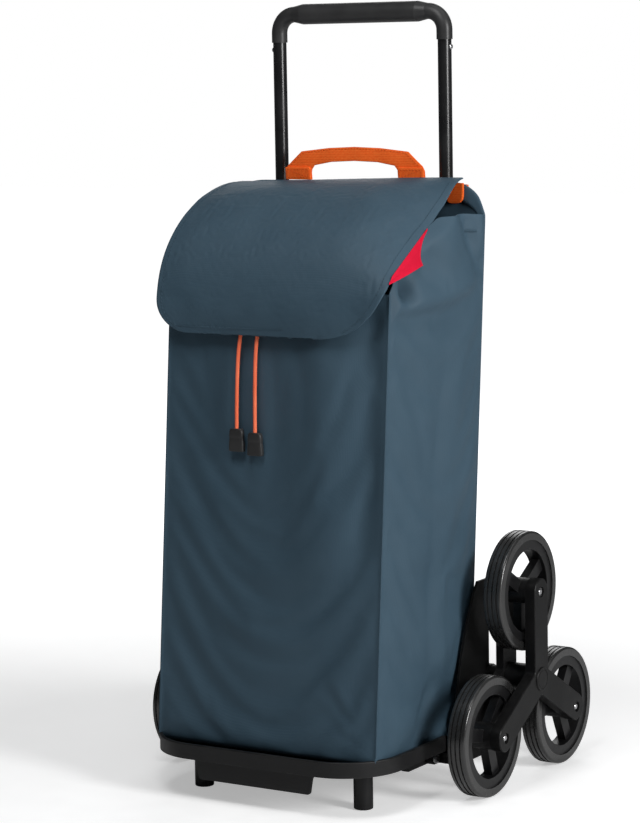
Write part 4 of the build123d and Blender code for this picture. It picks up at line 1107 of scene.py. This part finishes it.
tag_verts = [
    tag_point(i / TAG_CELLS, j / TAG_CELLS, 0)
    for i in range(TAG_CELLS + 1)
    for j in range(TAG_CELLS + 1)
]
step = TAG_CELLS + 1
tag_faces = [
    (i * step + j, (i + 1) * step + j, (i + 1) * step + j + 1, i * step + j + 1)
    for i in range(TAG_CELLS)
    for j in range(TAG_CELLS)
]
tag = new_piece("flap_label", tag_verts, tag_faces, TAG)
thick = tag.modifiers.new("thickness", "SOLIDIFY")
thick.thickness = 0.0009
thick.offset = 1
edge_round = tag.modifiers.new("edges", "BEVEL")
edge_round.width = 0.0003
edge_round.segments = 2
settle(tag)
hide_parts("flap_tag")

# %% [markdown]
# The carry handle is one length of orange webbing. It comes up from the back, is folded at each
# corner and doubled along the top to give a narrow grip. The strip between an outer and an inner
# outline is filled with a grid, thickened and given soft edges, then sewn with thread.

# %% Carry handle
BEND_Z = 787.5
CARRY_AHEAD = 24.4
OUTER = [(-107, BEND_Z), (-107, 800), (-104, 806), (-82, 825), (-40, 829.5), (0, 831), (40, 829.5), (82, 825),
         (104, 806), (107, 800), (107, BEND_Z)]
INNER = [(-67, BEND_Z), (-67, 797), (-66, 801), (-62, 806.5), (-36, 811), (0, 812.5), (36, 811), (62, 806.5),
         (66, 801), (67, 797), (67, BEND_Z)]
CARRY_THICK = 2.2
CARRY_BOW, BOW_HEIGHT = 2.0, 45  # the raised loop bows forwards between its bend and its top
RIPPLE, RIPPLE_PITCH = 0.25, 7.0
EDGE_ROUND = 0.0006


def bow_at(z, bow=CARRY_BOW):
    """How far the raised webbing bows forwards at a height above its bend."""
    return bow * math.sin(math.pi * min((z - BEND_Z) / BOW_HEIGHT, 1))


def ripple_at(x):
    """The slight waviness across any webbing that has been folded and sewn."""
    return RIPPLE * math.sin(x / RIPPLE_PITCH)


def grid_faces(rows, cells):
    """The faces of a grid of points that are listed row by row."""
    row = cells + 1
    return [
        (i * row + k, i * row + k + 1, (i + 1) * row + k + 1, (i + 1) * row + k)
        for i in range(rows)
        for k in range(cells)
    ]


def webbing_piece(name, verts, faces, material, soft_edges=True):
    """Webbing from its middle sheet, with its thickness and softened edges."""
    piece = new_piece(name, verts, faces, material)
    thick = piece.modifiers.new("thickness", "SOLIDIFY")
    thick.thickness = CARRY_THICK / 1000
    thick.offset = 0
    if soft_edges:
        soft = piece.modifiers.new("edges", "BEVEL")
        soft.width = EDGE_ROUND
        soft.segments = 3
    return settle(piece)


def resample(points, count):
    """The same outline with the same number of points between each pair of corners."""
    made = []
    for a, b in zip(points, points[1:]):
        made += [tuple(np.array(a) + (np.array(b) - np.array(a)) * k / count) for k in range(count)]
    return made + [points[-1]]


def strap_sheet(name, outer, inner, ahead_mm, material, cells=8, bow=0.0):
    """A webbing sheet between two outlines (across, height) that have matching points."""
    outer, inner = resample(outer, 6), resample(inner, 6)
    verts = []
    for (x0, z0), (x1, z1) in zip(outer, inner):
        for k in range(cells + 1):
            t = k / cells
            x, z = x0 + (x1 - x0) * t, z0 + (z1 - z0) * t
            lean = bow_at(z, bow) if z > BEND_Z else 0
            verts.append(at(x, ahead_mm + lean + ripple_at(x), z))
    return webbing_piece(name, verts, grid_faces(len(outer) - 1, cells), material)


carry = strap_sheet("carry_handle_webbing", OUTER, INNER, CARRY_AHEAD, WEBBING, bow=CARRY_BOW)
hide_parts("carry_handle")
front_face = Vector((0, -1, 0))


def inset_line(points, other, share):
    return [(a[0] + (b[0] - a[0]) * share, a[1] + (b[1] - a[1]) * share) for a, b in zip(points, other)]


outer_fine, inner_fine = resample(OUTER, 6), resample(INNER, 6)
seam_points = inset_line(outer_fine, inner_fine, 0.12)
carry_seam = stitch_line(
    "carry_handle_stitches",
    [at(x, CARRY_AHEAD + CARRY_THICK / 2 + bow_at(z) + ripple_at(x), z) for x, z in seam_points],
    [front_face] * len(seam_points),
    ORANGE_THREAD,
)

LEG_TOP, LEG_GAP = 804.0, 2.5
legs = []
for away in (-1, 1):
    outline = [(away * 106.5, BEND_Z), (away * 106.5, LEG_TOP)]
    inner = [(away * 67.5, BEND_Z), (away * 67.5, LEG_TOP)]
    leg = strap_sheet("carry_handle_leg", outline, inner, CARRY_AHEAD + LEG_GAP, WEBBING_UP, bow=CARRY_BOW)
    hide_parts("carry_handle")
    corners = [(70, BEND_Z + 3), (103, BEND_Z + 3), (103, LEG_TOP - 3), (70, LEG_TOP - 3),
        (70, BEND_Z + 3), (103, LEG_TOP - 3)]
    fine = resample([(away * x, z) for x, z in corners], 12)
    lean = [bow_at(z) + ripple_at(x) for x, z in fine]
    out_by = LEG_GAP + CARRY_THICK / 2
    line = [at(x, CARRY_AHEAD + out_by + bend, z) for (x, z), bend in zip(fine, lean)]
    legs += [leg, stitch_line("carry_leg_stitches", line, [front_face] * len(line), ORANGE_THREAD)]

# %% Sewn ends of the carry handle, with a boxed cross of stitches
anchor_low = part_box("carry_anchors")[0].z * 1000
anchor_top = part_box("carry_anchors")[1].z * 1000
anchors, anchor_threads = [], []
for side, away in (("left", -1), ("right", 1)):
    outline = [(away * 107, anchor_low), (away * 107, anchor_top)]
    inner = [(away * 67, anchor_low), (away * 67, anchor_top)]
    piece = strap_sheet(f"carry_anchor_{side}", outline, inner, CARRY_AHEAD, WEBBING_UP)
    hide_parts("carry_anchors")
    anchors.append(piece)
    x0, x1, z0, z1 = 71 * away, 103 * away, anchor_low + 4, anchor_top - 5
    back = [(x0, z0), (x1, z0), (x1, z1), (x0, z1), (x0, z0), (x1, z1), (x1, z1 - 0.1), (x0, z1), (x1, z0)]
    fine = resample(back, 12)
    thread = stitch_line(
        f"carry_anchor_stitches_{side}",
        [at(x, CARRY_AHEAD - CARRY_THICK / 2, z) for x, z in fine],
        [Vector((0, 1, 0))] * len(fine),
        ORANGE_THREAD,
    )
    anchor_threads.append(thread)

# %% Webbing loops round the uprights
TAB_TOP, TAB_LOW, TAB_ROUND = 785.0, 758.5, 10.0
TAB_INNER, TAB_OUTER, TAB_AHEAD = 140.0, 167.0, 5.0
straps = []
for side, away in (("left", -1), ("right", 1)):
    low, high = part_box(f"upright_strap_{side}")
    z0, z1 = low.z * 1000 - 2, high.z * 1000 - 5
    tube_low, tube_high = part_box(f"upright_{side}")
    x_tube = (tube_low.x + tube_high.x) / 2 * 1000
    a_tube = (AXLE_Y - (tube_low.y + tube_high.y) / 2) * 1000
    x_far = (high.x if away > 0 else low.x) * 1000
    radius = (high.y - low.y) / 2 * 1000 - CARRY_THICK / 2
    outline = []
    for k in range(25):
        angle = math.pi / 2 + math.pi * k / 24
        outline.append((x_tube + away * radius * math.cos(angle), a_tube + radius * math.sin(angle)))
    x_end = x_far - away * (radius + CARRY_THICK / 2)
    for k in range(1, 6):
        outline.append((x_tube + (x_end - x_tube) * k / 6, a_tube - radius))
    for k in range(25):
        angle = -math.pi / 2 + math.pi * k / 24
        outline.append((x_end + away * radius * math.cos(angle), a_tube + radius * math.sin(angle)))
    for k in range(1, 6):
        outline.append((x_end + (x_tube - x_end) * k / 6, a_tube + radius))
    count, levels = len(outline), 10
    verts = []
    for level in range(levels + 1):
        t = level / levels
        for x, a in outline:
            top = min(z1, float(np.interp(abs(x), *REAR_OUTLINE)) - 4)
            verts.append(at(x, a, z0 + (top - z0) * t + 0.35 * math.sin(x / 4 + a / 5)))
    faces = []
    for level in range(levels):
        below, above = level * count, (level + 1) * count
        faces += [(below + k, below + (k + 1) % count, above + (k + 1) % count, above + k)
                  for k in range(count)]
    piece = webbing_piece(f"upright_loop_{side}", verts, faces, WEBBING)
    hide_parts(f"upright_strap_{side}")
    straps.append(piece)
    rows, cells, verts = 16, 10, []
    for r in range(rows + 1):
        z = TAB_TOP - (TAB_TOP - TAB_LOW) * r / rows
        spare = max(TAB_ROUND - (z - TAB_LOW), 0)
        inset = TAB_ROUND - math.sqrt(TAB_ROUND**2 - spare**2)
        for k in range(cells + 1):
            x = TAB_INNER + inset + (TAB_OUTER - TAB_INNER - 2 * inset) * k / cells
            verts.append(at(away * x, REAR + TAB_AHEAD + 0.5 * math.sin(z / 5), z))
    tab = webbing_piece(f"upright_loop_tab_{side}", verts, grid_faces(rows, cells), WEBBING, soft_edges=False)
    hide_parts(f"upright_strap_{side}")
    straps.append(tab)
print("webbing pieces", 1 + len(anchors) + len(straps))

# %% [markdown]
# Last, every piece rides on its body. On the real trolley an empty bag flattens towards its back as the
# platform folds up; here the bag, the label, the cords and the flap only get meshes of their own.

# %% Bodies and own meshes
on_body = [(piece, "frame") for piece in (bag, collar, *anchors, *anchor_threads, *straps)]
on_body += [(piece, "frame") for piece in (*cord_pieces.values(), *end_pieces.values())]
on_body += [(piece, "flap") for piece in (flap, flap_stitches, tag)]
on_body += [(piece, "carry_handle") for piece in (carry, carry_seam, *legs)]
for piece, body in on_body:
    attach(piece, body)
soft_with_platform = [bag, collar, flap, flap_stitches, tag, *cord_pieces.values(), *end_pieces.values()]
for piece in soft_with_platform:
    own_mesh(piece)
